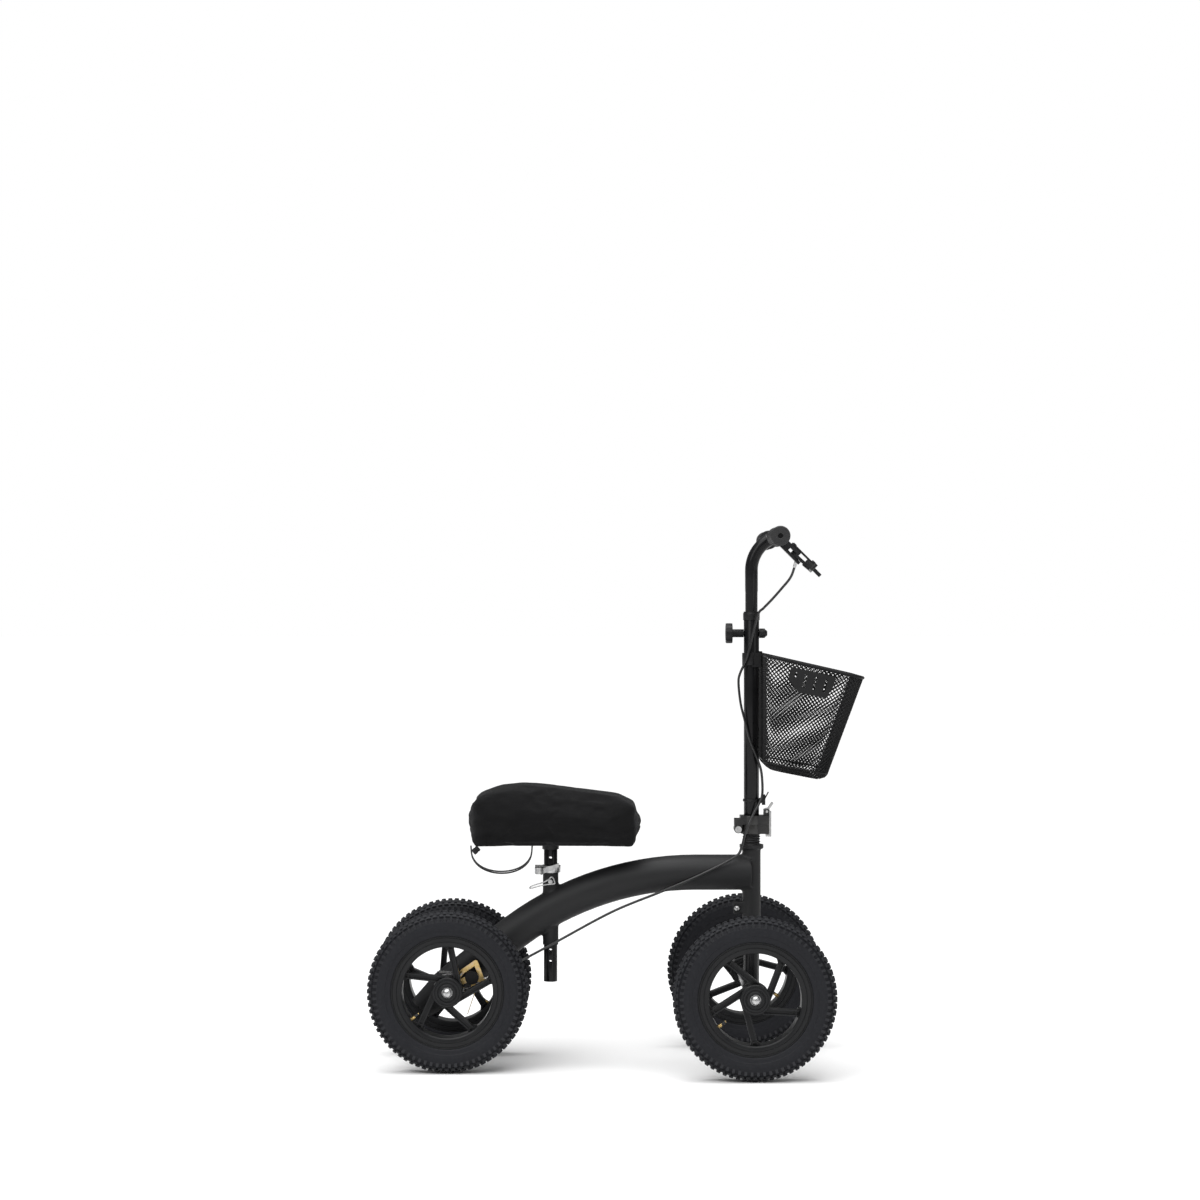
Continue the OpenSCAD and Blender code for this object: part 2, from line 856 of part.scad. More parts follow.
module bar_brake_cable() {
    color("#202022") cable([
        [354.3, -76.5, 994.2],
        [351, -72, 981],
        [344, -62, 962],
        [326, -48, 939],
        [309, -36, 919],
        [297, -28, 903],
        [288, -24, 890]
    ], cable_d - 1);
}

// ---------- Basket ----------

// The eight corners of a tub, drawn in by t and with its rim raised by up
function basket_corners(t, up) = [
    for (side = [-1, 1])
        for (corner = [
            [basket_floor_back + [t, t], basket_floor_w],
            [basket_floor_front + [-t, t], basket_floor_w],
            [basket_rim_front + [-t, up], basket_top_w],
            [basket_rim_back + [t, up], basket_top_w]
        ])
            [corner[0].x, side * (corner[1] / 2 - t), corner[0].y]
];

module basket_tub(t, up) {
    polyhedron(basket_corners(t, up), [
        [0, 3, 2, 1], [4, 5, 6, 7], [0, 1, 5, 4], [1, 2, 6, 5], [2, 3, 7, 6], [3, 0, 4, 7]
    ]);
}

module basket() {
    hook_z = 815.3;
    color("#1a1a1c") {
        difference() {
            basket_tub(0, 0);
            basket_tub(basket_wall, 0.5);
        }
        box([basket_back_x - 2.4, -14, 790], [basket_back_x, 14, hook_z + 2]);
        box([basket_back_x - 5.5, -14, hook_z], [basket_back_x, 14, hook_z + 2]);
    }
}

// ---------- Wheels ----------

module rim() {
    lip = 3;
    half = rim_w / 2;
    profile = [
        [rim_inner_r, -half], [rim_r, -half], [rim_r, -half + lip], [rim_r - 9, -half + lip + 2],
        [rim_r - 9, half - lip - 2], [rim_r, half - lip], [rim_r, half], [rim_inner_r, half]
    ];
    color("#1f1f21") difference() {
        union() {
            rotate([90, 0, 0]) rotate_extrude($fn = 96) polygon(profile);
            along_y(-hub_w / 2, hub_w / 2, hub_d);
            for (i = [0 : spokes - 1])
                rotate([0, -i * 360 / spokes + 70, 0])
                    box([17, -10, 0], [28, 10, sqrt(rim_inner_r * rim_inner_r - 22.5 * 22.5) + 2]);
        }
        along_y(-hub_w, hub_w, 22);
        for (side = [-1, 1]) {
            along_y(side * (hub_w / 2 - 4) - 4.5, side * (hub_w / 2 - 4) + 4.5, bearing_d);
        }
        rotate([0, -valve_angle, 0]) along_x(60, rim_r, valve_d + 1);
    }
}

module bearings() {
    color("silver") for (side = [-1, 1]) difference() {
        middle = side * (hub_w / 2 - 4.5);
        along_y(middle - bearing_w / 2 + 0.1, middle + bearing_w / 2 - 0.1, bearing_d);
        along_y(-hub_w, hub_w, axle_d + 2 * running);
    }
}

module tread_row(y0, y1, apothem, shift) {
    block_l = PI * tyre_d / tread_blocks * 0.6;
    for (i = [0 : tread_blocks - 1])
        rotate([0, 90 + (i + shift) * 360 / tread_blocks, 0])
            box([land_r - 2, y0, -block_l / 2], [apothem, y1, block_l / 2]);
}

module tyre() {
    half = tyre_w / 2;
    ring_r = tyre_r - half;
    color("#2d2e32") {
        rotate([90, 0, 0]) rotate_extrude($fn = 96) difference() {
            union() {
                intersection() {
                    translate([ring_r, 0]) circle(r = half);
                    translate([rim_r + 0.1, -half - 1]) square([land_r - rim_r, tyre_w + 2]);
                }
                for (side = [-1, 1]) translate([rim_r - 8.8, side * 14 - 2.8]) square([14, 5.6]);
            }
            translate([tube_ring_r, 0]) circle(r = tube_r);
        }
        tread_row(-6.5, 6.5, tyre_r, 0);
        tread_row(-17.5, -8.5, tyre_r - 2.4, 0.5);
        tread_row(8.5, 17.5, tyre_r - 2.4, 0.5);
    }
}

module inner_tube() {
    color("#b08d57") difference() {
        union() {
            rotate([90, 0, 0]) rotate_extrude($fn = 96)
                translate([tube_ring_r, 0]) circle(r = tube_r - 1.3);
            rotate([0, -valve_angle, 0]) along_x(72, tube_ring_r - tube_r + 2.3, valve_d);
        }
        rotate([90, 0, 0]) rotate_extrude($fn = 96) translate([tube_ring_r, 0]) circle(r = tube_r - 3.3);
        rotate([0, -valve_angle, 0]) along_x(60, tube_ring_r, 3);
    }
}

// Puts a wheel part at one of the four corners; the left wheels face the other way
module at_wheel(name) {
    front = name == "front_right" || name == "front_left";
    left = name == "rear_left" || name == "front_left";
    track = front ? front_track : rear_track;
    translate([front ? front_x : rear_x, (left ? 1 : -1) * track / 2, axle_z])
        rotate([0, 0, left ? 180 : 0])
            children();
}

main_frame();
tail_cap();
headset_bearings();
steering_stop_bolt();
at_rear_axle() axle(rear_track);  // rear_axle
at_rear_axle() axle_nuts(rear_track);  // rear_axle_nuts
seat_clamp_collar();
seat_clamp_skewer();
seat_clamp_lever();
safety_pin();
brake_bracket();
brake_band();
brake_drum();
brake_pivot_bolt();
brake_arm();
brake_return_spring();
brake_cable_adjuster();
frame_brake_cable();
seat_post();
pad_bracket();
pad_board();
knee_pad();
pad_drawstring();
steering_fork();
at_front_axle() axle(front_track);  // front_axle
at_front_axle() axle_nuts(front_track);  // front_axle_nuts
headset_boot();
hinge_base();
hinge_pin();
hinge_head();
latch_lever();
stem_tube();
stem_collar();
basket_bracket();
stem_brake_cable();
handlebar();
height_knob();
height_nut();
grips();
brake_perch();
bar_brake_cable();
brake_lever();
parking_catch();
basket();
for (wheel = WHEELS) {
    at_wheel(wheel) rim();
    at_wheel(wheel) tyre();
    at_wheel(wheel) inner_tube();
    at_wheel(wheel) bearings();
}
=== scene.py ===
import json
import math

import bmesh
import bpy
from mathutils import Matrix, Vector, noise


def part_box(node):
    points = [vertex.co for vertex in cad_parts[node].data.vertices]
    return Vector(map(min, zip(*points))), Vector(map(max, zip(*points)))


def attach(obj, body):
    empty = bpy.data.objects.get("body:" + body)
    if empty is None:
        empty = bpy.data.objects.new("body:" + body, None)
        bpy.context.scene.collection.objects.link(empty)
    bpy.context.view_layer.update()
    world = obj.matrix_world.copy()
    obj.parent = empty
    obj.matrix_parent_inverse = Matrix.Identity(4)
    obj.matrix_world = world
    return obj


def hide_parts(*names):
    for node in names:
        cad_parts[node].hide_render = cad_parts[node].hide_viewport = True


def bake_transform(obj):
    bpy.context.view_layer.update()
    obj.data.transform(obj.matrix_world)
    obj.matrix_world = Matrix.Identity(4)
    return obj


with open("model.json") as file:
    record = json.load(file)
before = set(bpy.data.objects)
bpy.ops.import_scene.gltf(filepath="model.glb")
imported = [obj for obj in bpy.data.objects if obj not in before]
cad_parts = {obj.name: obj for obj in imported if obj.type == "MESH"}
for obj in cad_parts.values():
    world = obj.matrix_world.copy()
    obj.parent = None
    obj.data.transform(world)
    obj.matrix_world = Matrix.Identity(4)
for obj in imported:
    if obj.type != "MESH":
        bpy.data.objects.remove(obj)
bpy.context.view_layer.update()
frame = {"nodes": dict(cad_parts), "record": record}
record = frame["record"]
nodes = frame["nodes"]
joints = {joint["name"]: joint for joint in record["behaviour"]["joints"]}

MM = 0.001
CRISP = 35
WHEELS = ("rear_right", "rear_left", "front_right", "front_left")
CAMERA_DISTANCE = 5.3
CAMERA_HEIGHT = 0.919
CAMERA_LENS = 80.12


# ---------------------------------------------------------------- places


def middle(node):
    """Centre of a CAD node's box."""
    low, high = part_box(node)
    return (low + high) / 2


def joint_place(name):
    """A point on a joint's axis."""
    return Vector(joints[name]["pos_m"])


def turned(degrees, axis):
    """A rotation about one of the frame's axes."""
    return Matrix.Rotation(math.radians(degrees), 4, axis)


# ---------------------------------------------------------------- shader helpers


class Shader:
    """A node material under construction: a Principled shader and what feeds it."""

    def __init__(self, name, coords="Object"):
        self.material = bpy.data.materials.new(name)
        self.material.use_nodes = True
        self.tree = self.material.node_tree
        self.tree.nodes.clear()
        self.output = self.node("ShaderNodeOutputMaterial")
        self.bsdf = self.node("ShaderNodeBsdfPrincipled")
        self.link(self.bsdf.outputs["BSDF"], self.output.inputs["Surface"])
        self.coords = self.node("ShaderNodeTexCoord").outputs[coords]

    def node(self, kind, **settings):
        """A new node with its properties set."""
        made = self.tree.nodes.new(kind)
        for key, value in settings.items():
            setattr(made, key, value)
        return made

    def link(self, source, target):
        self.tree.links.new(source, target)

    def set(self, **values):
        """Sets or links inputs of the Principled shader, named with _ for spaces."""
        for key, value in values.items():
            target = self.bsdf.inputs[key.replace("_", " ")]
            if hasattr(value, "is_output"):
                self.link(value, target)
            else:
                target.default_value = value
        return self

    def stretched(self, scale):
        """The coordinates, scaled along each axis."""
        mapping = self.node("ShaderNodeMapping")
        mapping.inputs["Scale"].default_value = scale
        self.link(self.coords, mapping.inputs["Vector"])
        return mapping.outputs["Vector"]

    def noise(self, scale, detail=4.0, rough=0.55, vector=None):
        """Fractal noise as a factor."""
        made = self.node("ShaderNodeTexNoise")
        made.inputs["Scale"].default_value = scale
        made.inputs["Detail"].default_value = detail
        made.inputs["Roughness"].default_value = rough
        self.link(vector or self.coords, made.inputs["Vector"])
        return made.outputs["Fac"]

    def cells(self, scale, feature="F1", vector=None):
        """Distance to the nearest of scattered points, as a factor."""
        made = self.node("ShaderNodeTexVoronoi", feature=feature)
        made.inputs["Scale"].default_value = scale
        self.link(vector or self.coords, made.inputs["Vector"])
        return made.outputs["Distance"]

    def wave(self, scale, direction="X", distortion=0.0, vector=None):
        """Parallel bands as a factor."""
        made = self.node("ShaderNodeTexWave", bands_direction=direction)
        made.inputs["Scale"].default_value = scale
        made.inputs["Distortion"].default_value = distortion
        self.link(vector or self.coords, made.inputs["Vector"])
        return made.outputs["Fac"]

    def spread(self, factor, low, high, start=0.3, end=0.7):
        """Maps a factor to the range from low to high."""
        made = self.node("ShaderNodeMapRange")
        made.inputs["From Min"].default_value = start
        made.inputs["From Max"].default_value = end
        made.inputs["To Min"].default_value = low
        made.inputs["To Max"].default_value = high
        self.link(factor, made.inputs["Value"])
        return made.outputs["Result"]

    def colours(self, factor, stops):
        """A colour ramp: stops are (position, (r, g, b))."""
        ramp = self.node("ShaderNodeValToRGB")
        while len(ramp.color_ramp.elements) < len(stops):
            ramp.color_ramp.elements.new(0.5)
        for element, (position, colour) in zip(ramp.color_ramp.elements, stops):
            element.position = position
            element.color = (*colour, 1.0)
        self.link(factor, ramp.inputs["Fac"])
        return ramp.outputs["Color"]

    def tones(self, factor, low, high):
        """A colour from low to high over the middle of a factor's range."""
        return self.colours(factor, [(0.3, low), (0.7, high)])

    def mix(self, factor, first, second):
        """Blends two colours."""
        made = self.node("ShaderNodeMix", data_type="RGBA")
        for value, index in ((factor, 0), (first, 6), (second, 7)):
            target = made.inputs[index]
            if hasattr(value, "is_output"):
                self.link(value, target)
            elif index == 0:
                target.default_value = value
            else:
                target.default_value = (*value, 1.0)
        return made.outputs[2]

    def add(self, first, second, kind="ADD"):
        """A sum, or another operation, of two factors or numbers."""
        made = self.node("ShaderNodeMath", operation=kind)
        for value, target in zip((first, second), made.inputs):
            if hasattr(value, "is_output"):
                self.link(value, target)
            else:
                target.default_value = value
        return made.outputs[0]

    def worn(self, colour, worn_colour, amount=0.5):
        """A colour that turns towards another on outer edges, from how pointed the surface is."""
        geometry = self.node("ShaderNodeNewGeometry")
        edges = self.spread(geometry.outputs["Pointiness"], 0.0, 1.0, 0.52, 0.6)
        return self.mix(self.spread(edges, 0.0, amount, 0.0, 1.0), colour, worn_colour)

    def bump(self, height, distance, strength=1.0, below=None):
        """A normal raised by a height factor, over another normal if one is given."""
        made = self.node("ShaderNodeBump")
        made.inputs["Distance"].default_value = distance
        made.inputs["Strength"].default_value = strength
        self.link(height, made.inputs["Height"])
        if below is not None:
            self.link(below, made.inputs["Normal"])
        return made.outputs["Normal"]


# ---------------------------------------------------------------- materials


def powder_coat():
    """Matte charcoal powder coat: fine orange peel and a little dust."""
    s = Shader("powder_coat")
    broad = s.noise(9.0, 3.0)
    colour = s.tones(broad, (0.0115, 0.0117, 0.0125), (0.0155, 0.0158, 0.0165))
    worn = s.worn(colour, (0.032, 0.033, 0.035), 0.35)
    peel = s.bump(s.noise(1400.0, 2.0), 0.00008, 0.6)
    grain = s.bump(s.noise(5200.0, 2.0), 0.00003, 0.6, below=peel)
    s.set(Base_Color=worn, Roughness=s.spread(broad, 0.46, 0.58), Normal=grain, Specular_IOR_Level=0.22)
    return s.material


def gloss_black():
    """Gloss black paint on tube: soft smudges and hair scratches along the tube."""
    s = Shader("gloss_black")
    smudge = s.noise(24.0, 5.0)
    scratches = s.noise(60.0, 3.0, vector=s.stretched((14.0, 14.0, 0.5)))
    colour = s.tones(smudge, (0.004, 0.004, 0.0046), (0.0062, 0.0062, 0.0068))
    peel = s.bump(s.noise(420.0, 2.0), 0.00003, 0.5)
    s.set(Base_Color=colour, Coat_Weight=0.15, Coat_Roughness=0.08, Normal=peel)
    s.set(Roughness=s.add(s.spread(smudge, 0.2, 0.34), s.spread(scratches, 0.0, 0.05)))
    s.set(Specular_IOR_Level=0.12)
    return s.material


def plated(name, stops, rough=(0.22, 0.42)):
    """Plated steel: uneven colour, fine brushing and small scratches."""
    s = Shader(name)
    patches = s.noise(160.0, 4.0)
    brushed = s.noise(700.0, 3.0, vector=s.stretched((1.0, 0.12, 1.0)))
    scratch = s.bump(brushed, 0.00004, 0.5)
    s.set(Base_Color=s.colours(patches, stops), Metallic=1.0)
    s.set(Roughness=s.spread(brushed, *rough), Normal=s.bump(patches, 0.00006, 0.4, below=scratch))
    return s.material


def zinc_silver():
    """Clear-passivated zinc, for nuts, pins and springs."""
    return plated("zinc_silver", [(0.3, (0.33, 0.33, 0.34)), (0.7, (0.54, 0.54, 0.53))])


def zinc_yellow():
    """Yellow-passivated zinc with a faint pink cast, for the brake's bracket."""
    stops = [(0.3, (0.5, 0.33, 0.12)), (0.5, (0.62, 0.46, 0.2)), (0.66, (0.55, 0.42, 0.3))]
    return plated("zinc_yellow", stops, (0.24, 0.4))


def brass():
    """Turned brass, for the valves."""
    return plated("brass", [(0.3, (0.55, 0.38, 0.14)), (0.7, (0.7, 0.52, 0.24))], (0.2, 0.36))


def plastic(name, low, high, rough, grain_scale=2600.0, grain_depth=0.00005):
    """Moulded plastic: fine spark-eroded grain and slightly polished edges, painted lighter as a painted
    highlight.
    """
    s = Shader(name)
    broad = s.noise(30.0, 4.0)
    # Outer edges rubbed smooth are painted lighter: a painted highlight for their polish.
    polished_edge_highlight = tuple(2.2 * value for value in high)
    colour = s.worn(s.tones(broad, low, high), polished_edge_highlight)
    grain = s.bump(s.noise(grain_scale, 2.0), grain_depth, 0.6)
    s.set(Base_Color=colour, Roughness=s.spread(broad, rough - 0.06, rough + 0.06), Normal=grain)
    s.set(Specular_IOR_Level=0.22)
    return s.material


def hinge_casting():
    """Painted casting: darker paint with a coarser skin and worn corners."""
    s = Shader("hinge_casting")
    broad = s.noise(70.0, 4.0)
    colour = s.tones(broad, (0.0055, 0.0055, 0.006), (0.0095, 0.0095, 0.01))
    worn = s.worn(colour, (0.09, 0.087, 0.08))
    s.set(Base_Color=worn, Roughness=s.spread(broad, 0.32, 0.46), Metallic=0.2)
    s.set(Normal=s.bump(s.noise(900.0, 3.0), 0.0001, 0.6))
    return s.material


def tyre_rubber():
    """Blue-grey charcoal rubber: chalky on the treads, with a fine moulded skin."""
    s = Shader("tyre_rubber")
    broad = s.noise(16.0, 5.0)
    chalk = s.noise(220.0, 4.0)
    base = s.tones(broad, (0.0082, 0.0086, 0.0108), (0.0115, 0.012, 0.0148))
    dusty = s.mix(s.spread(chalk, 0.0, 0.25, 0.45, 0.75), base, (0.026, 0.0265, 0.029))
    worn = s.worn(dusty, (0.034, 0.035, 0.038))
    skin = s.bump(s.noise(1500.0, 3.0), 0.00012, 0.6)
    s.set(Base_Color=worn, Roughness=s.spread(broad, 0.56, 0.72), Normal=skin, Specular_IOR_Level=0.18)
    return s.material


def rubber(name, colour=(0.007, 0.007, 0.0075), rough=0.6, grain=1800.0):
    """Matte rubber or soft PVC with a fine moulded grain."""
    s = Shader(name)
    broad = s.noise(60.0, 4.0)
    lighter = tuple(1.5 * value for value in colour)
    s.set(Base_Color=s.tones(broad, colour, lighter))
    s.set(Roughness=s.spread(broad, rough - 0.08, rough + 0.08))
    s.set(Normal=s.bump(s.noise(grain, 3.0), 0.00012, 0.6))
    return s.material


def plush_fabric():
    """Black fleece: short pile with sheen, faint nap direction and lint."""
    s = Shader("plush_fabric")
    nap = s.noise(26.0, 4.0, vector=s.stretched((1.0, 2.4, 2.4)))
    pile = s.noise(2300.0, 4.0, 0.7)
    tuft = s.cells(900.0)
    colour = s.colours(nap, [(0.32, (0.0035, 0.0035, 0.0038)), (0.68, (0.0062, 0.0062, 0.0066))])
    fluffy = s.mix(s.spread(pile, 0.0, 0.3, 0.5, 0.75), colour, (0.013, 0.013, 0.0135))
    soft = s.bump(s.add(pile, tuft), 0.0005, 0.8)
    s.set(Base_Color=fluffy, Roughness=0.95, Sheen_Weight=0.14, Sheen_Roughness=0.45)
    s.set(Sheen_Tint=(0.35, 0.35, 0.36, 1.0), Normal=s.bump(nap, 0.0012, 0.35, below=soft))
    s.set(Specular_IOR_Level=0.15)
    return s.material


def braided_cord():
    """Thin braided cord: crossed diagonal strands, with painted shade in the grooves between them."""
    s = Shader("braided_cord")
    one = s.wave(420.0, "DIAGONAL")
    other = s.wave(420.0, "DIAGONAL", vector=s.stretched((-1.0, 1.0, 1.0)))
    strands = s.add(one, other)
    # The colour is darker in the grooves between strands and lighter on their crowns: painted shade and
    # painted light.
    s.set(Base_Color=s.colours(strands, [(0.2, (0.004, 0.004, 0.004)), (0.9, (0.013, 0.013, 0.0135))]))
    s.set(Roughness=0.75, Sheen_Weight=0.2, Normal=s.bump(strands, 0.0003, 0.8))
    return s.material


def plywood():
    """Birch plywood: long grain, darker rings and end-grain plies."""
    s = Shader("plywood")
    grain = s.noise(40.0, 6.0, vector=s.stretched((0.6, 9.0, 9.0)))
    plies = s.wave(330.0, "Z", 1.5)
    face = s.colours(grain, [(0.25, (0.3, 0.18, 0.09)), (0.75, (0.52, 0.36, 0.2))])
    s.set(Base_Color=s.mix(s.spread(plies, 0.0, 0.35, 0.2, 0.8), face, (0.2, 0.11, 0.05)))
    s.set(Roughness=s.spread(grain, 0.55, 0.7), Normal=s.bump(grain, 0.0002, 0.6))
    return s.material


def coated_wire():
    """Dipped black coating on steel mesh: uneven gloss and small drips."""
    s = Shader("coated_wire")
    drips = s.noise(340.0, 3.0)
    s.set(Base_Color=s.tones(drips, (0.004, 0.004, 0.0045), (0.008, 0.008, 0.0085)))
    s.set(Roughness=s.spread(drips, 0.36, 0.52), Normal=s.bump(drips, 0.0002, 0.6), Specular_IOR_Level=0.15)
    return s.material


def studio_floor():
    """Pale matte paper with almost no tooth."""
    s = Shader("studio_floor")
    tooth = s.noise(300.0, 3.0)
    s.set(Base_Color=s.tones(tooth, (0.89, 0.89, 0.89), (0.91, 0.91, 0.91)))
    s.set(Roughness=0.9, Normal=s.bump(tooth, 0.0002, 0.1))
    return s.material


MATERIALS = {
    "frame_paint": powder_coat(),
    "gloss_black_paint": gloss_black(),
    "zinc_silver": zinc_silver(),
    "zinc_yellow": zinc_yellow(),
    "brass": brass(),
    "black_plastic": plastic("black_plastic", (0.0055, 0.0055, 0.006), (0.0085, 0.0085, 0.009), 0.42),
    "hinge_casting": hinge_casting(),
    "rim_plastic": plastic("rim_plastic", (0.0058, 0.006, 0.0066), (0.0085, 0.0088, 0.0095), 0.38,
                           grain_scale=1600.0, grain_depth=0.00007),
    "tyre_rubber": tyre_rubber(),
    "tube_rubber": rubber("tube_rubber"),
    "grip_rubber": rubber("grip_rubber", (0.0055, 0.0055, 0.006), 0.55),
    "cable_sheath": rubber("cable_sheath", (0.007, 0.007, 0.0075), 0.34, 700.0),
    "pad_fabric": plush_fabric(),
    "cord_fabric": braided_cord(),
    "board_wood": plywood(),
    "basket_mesh": coated_wire(),
}


# ---------------------------------------------------------------- mesh helpers


class Shape:
    """Vertices and faces gathered from several simple forms."""

    def __init__(self):
        self.verts = []
        self.faces = []

    def add(self, verts, faces, matrix=None):
        """Adds vertices, moved by a matrix, and the faces between them."""
        start = len(self.verts)
        self.verts += [matrix @ Vector(v) if matrix else Vector(v) for v in verts]
        self.faces += [tuple(start + i for i in face) for face in faces]
        return self

    def box(self, low, high, matrix=None, taper=1.0):
        """A box whose top face, at high Z, is scaled by taper."""
        mid = [(a + b) / 2 for a, b in zip(low, high)]
        verts = []
        for z, shrink in ((low[2], 1.0), (high[2], taper)):
            for x, y in ((low[0], low[1]), (high[0], low[1]), (high[0], high[1]), (low[0], high[1])):
                verts.append((mid[0] + (x - mid[0]) * shrink, mid[1] + (y - mid[1]) * shrink, z))
        faces = [(3, 2, 1, 0), (4, 5, 6, 7), (0, 1, 5, 4), (1, 2, 6, 5), (2, 3, 7, 6), (3, 0, 4, 7)]
        return self.add(verts, faces, matrix)

    def lathe(self, profile, segments, closed=False, matrix=None):
        """Turns (radius, y) points about the Y axis; a closed profile makes a ring."""
        rows = len(profile)
        verts = []
        for i in range(segments):
            angle = 2 * math.pi * i / segments
            verts += [(r * math.cos(angle), y, r * math.sin(angle)) for r, y in profile]
        faces = []
        for i in range(segments):
            here, there = i * rows, (i + 1) % segments * rows
            for j in range(rows if closed else rows - 1):
                k = (j + 1) % rows
                faces.append((here + j, there + j, there + k, here + k))
        if not closed:
            faces.append(tuple(i * rows for i in reversed(range(segments))))
            faces.append(tuple(i * rows + rows - 1 for i in range(segments)))
        return self.add(verts, faces, matrix)

    def skin(self, rows):
        """Joins rows of points, each row a closed loop, and closes both ends."""
        count = len(rows[0])
        last = (len(rows) - 1) * count
        faces = []
        for start in range(0, last, count):
            for i in range(count):
                k = (i + 1) % count
                faces.append((start + i, start + k, start + count + k, start + count + i))
        faces += [tuple(range(count)), tuple(last + i for i in range(count))]
        return self.add([point for row in rows for point in row], faces)

    def mesh(self, name, crisp=None):
        """One mesh, faces outwards: flat, or smooth but for edges over crisp degrees."""
        made = bpy.data.meshes.new(name)
        made.from_pydata(self.verts, [], self.faces)
        clean = bmesh.new()
        clean.from_mesh(made)
        bmesh.ops.recalc_face_normals(clean, faces=clean.faces)
        clean.to_mesh(made)
        clean.free()
        if crisp:
            made.shade_smooth()
            made.set_sharp_from_angle(angle=math.radians(crisp))
        return made


def linked(name, data):
    """A new object in the scene."""
    made = bpy.data.objects.new(name, data)
    bpy.context.scene.collection.objects.link(made)
    return made


def piece(name, mesh, material, body=None, replaced=(), place=None):
    """A named object at a place, riding on a body and standing for CAD nodes."""
    made = linked(name, mesh)
    if place:
        made.matrix_world = place
    if not mesh.materials:
        mesh.materials.append(MATERIALS[material])
    if body:
        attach(made, body)
    if replaced:
        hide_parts(*replaced)
    return made


def bevel(target, width, segments=2, angle=40.0):
    """Rounds every edge that is sharper than the angle."""
    made = target.modifiers.new("bevel", "BEVEL")
    made.width = width
    made.segments = segments
    made.limit_method = "ANGLE"
    made.angle_limit = math.radians(angle)
    made.harden_normals = True
    return made


def applied(target):
    """The object's mesh with its modifiers applied, as a new mesh."""
    graph = bpy.context.evaluated_depsgraph_get()
    graph.update()
    return bpy.data.meshes.new_from_object(target.evaluated_get(graph))


def curve_mesh(curve):
    """A curve turned into a mesh without materials."""
    holder = linked(curve.name, curve)
    mesh = applied(holder)
    bpy.data.objects.remove(holder, do_unlink=True)
    mesh.materials.clear()
    return mesh


def tube(name, points, radius, material, body=None, replaced=(), closed=False, resolution=8):
    """A round cord or wire through points, as a smooth curve turned into a mesh."""
    data = bpy.data.curves.new(name, "CURVE")
    data.dimensions = "3D"
    data.bevel_depth = radius
    data.bevel_resolution = 3
    data.resolution_u = resolution
    data.use_fill_caps = True
    line = data.splines.new("NURBS")
    line.points.add(len(points) - 1)
    for control, point in zip(line.points, points):
        control.co = (*point, 1.0)
    line.order_u = 4 if len(points) > 3 else len(points)
    line.use_endpoint_u = not closed
    line.use_cyclic_u = closed
    mesh = curve_mesh(data)
    mesh.shade_smooth()
    mesh.name = name
    return piece(name, mesh, material, body, replaced)


def smooth_line(points, steps=6, closed=False):
    """Points along a Catmull-Rom curve through the given points."""
    if closed:
        ends = [points[-1], *points, points[0], points[1]]
    else:
        ends = [points[0] * 2 - points[1], *points, points[-1] * 2 - points[-2]]
    line = []
    for before, start, end, after in zip(ends, ends[1:], ends[2:], ends[3:]):
        for i in range(steps):
            t = i / steps
            line.append(0.5 * (2 * start + (end - before) * t
                               + (2 * before - 5 * start + 4 * end - after) * t ** 2
                               + (3 * start - before - 3 * end + after) * t ** 3))
    return line if closed else line + [points[-1]]


def at_mm(*points):
    """Points given in millimetres, as vectors in metres."""
    return [Vector(point) * MM for point in points]


# ---------------------------------------------------------------- wheels

# Millimetres and degrees, about the Y axis.
RIM_R = 110
RIM_INNER_R = 88
SPOKES = 5
SPOKE_OFFSET = 22.5
SPOKE_END = {"front_right": 54, "rear_right": 15, "front_left": 36, "rear_left": 80}
VALVE_ANGLE = 218
CASING_MIDDLE_R = 130.5
CASING_HEIGHT = 23.4
CASING_HALF = 26.4
CASING_WALL = 4.5
KNOBS_ROUND = 74
KNOB_ROWS = [  # tilt from the crown, shift along, width across, length along, height
    (0, 0.0, 8.5, 9.2, 3.5),
    (22, 0.1, 8.0, 9.0, 3.5),
    (44, 0.6, 8.2, 8.6, 3.5),
    (68, 0.1, 12.0, 5.6, 2.4),
]


def mirrored(half):
    """A profile of (radius, y) points continued on the other side of y = 0."""
    return half + [(r, -y) for r, y in reversed(half)]


def in_metres(profile):
    """A profile of (radius, y) points turned from millimetres into metres."""
    return [(r * MM, y * MM) for r, y in profile]


def casing_point(angle, shrink=0.0):
    """Radius and y on the tyre's casing; angle 0 is the crown."""
    across = math.copysign(abs(math.sin(angle)) ** 0.85, math.sin(angle))
    return CASING_MIDDLE_R + (CASING_HEIGHT - shrink) * math.cos(angle), -(CASING_HALF - shrink) * across


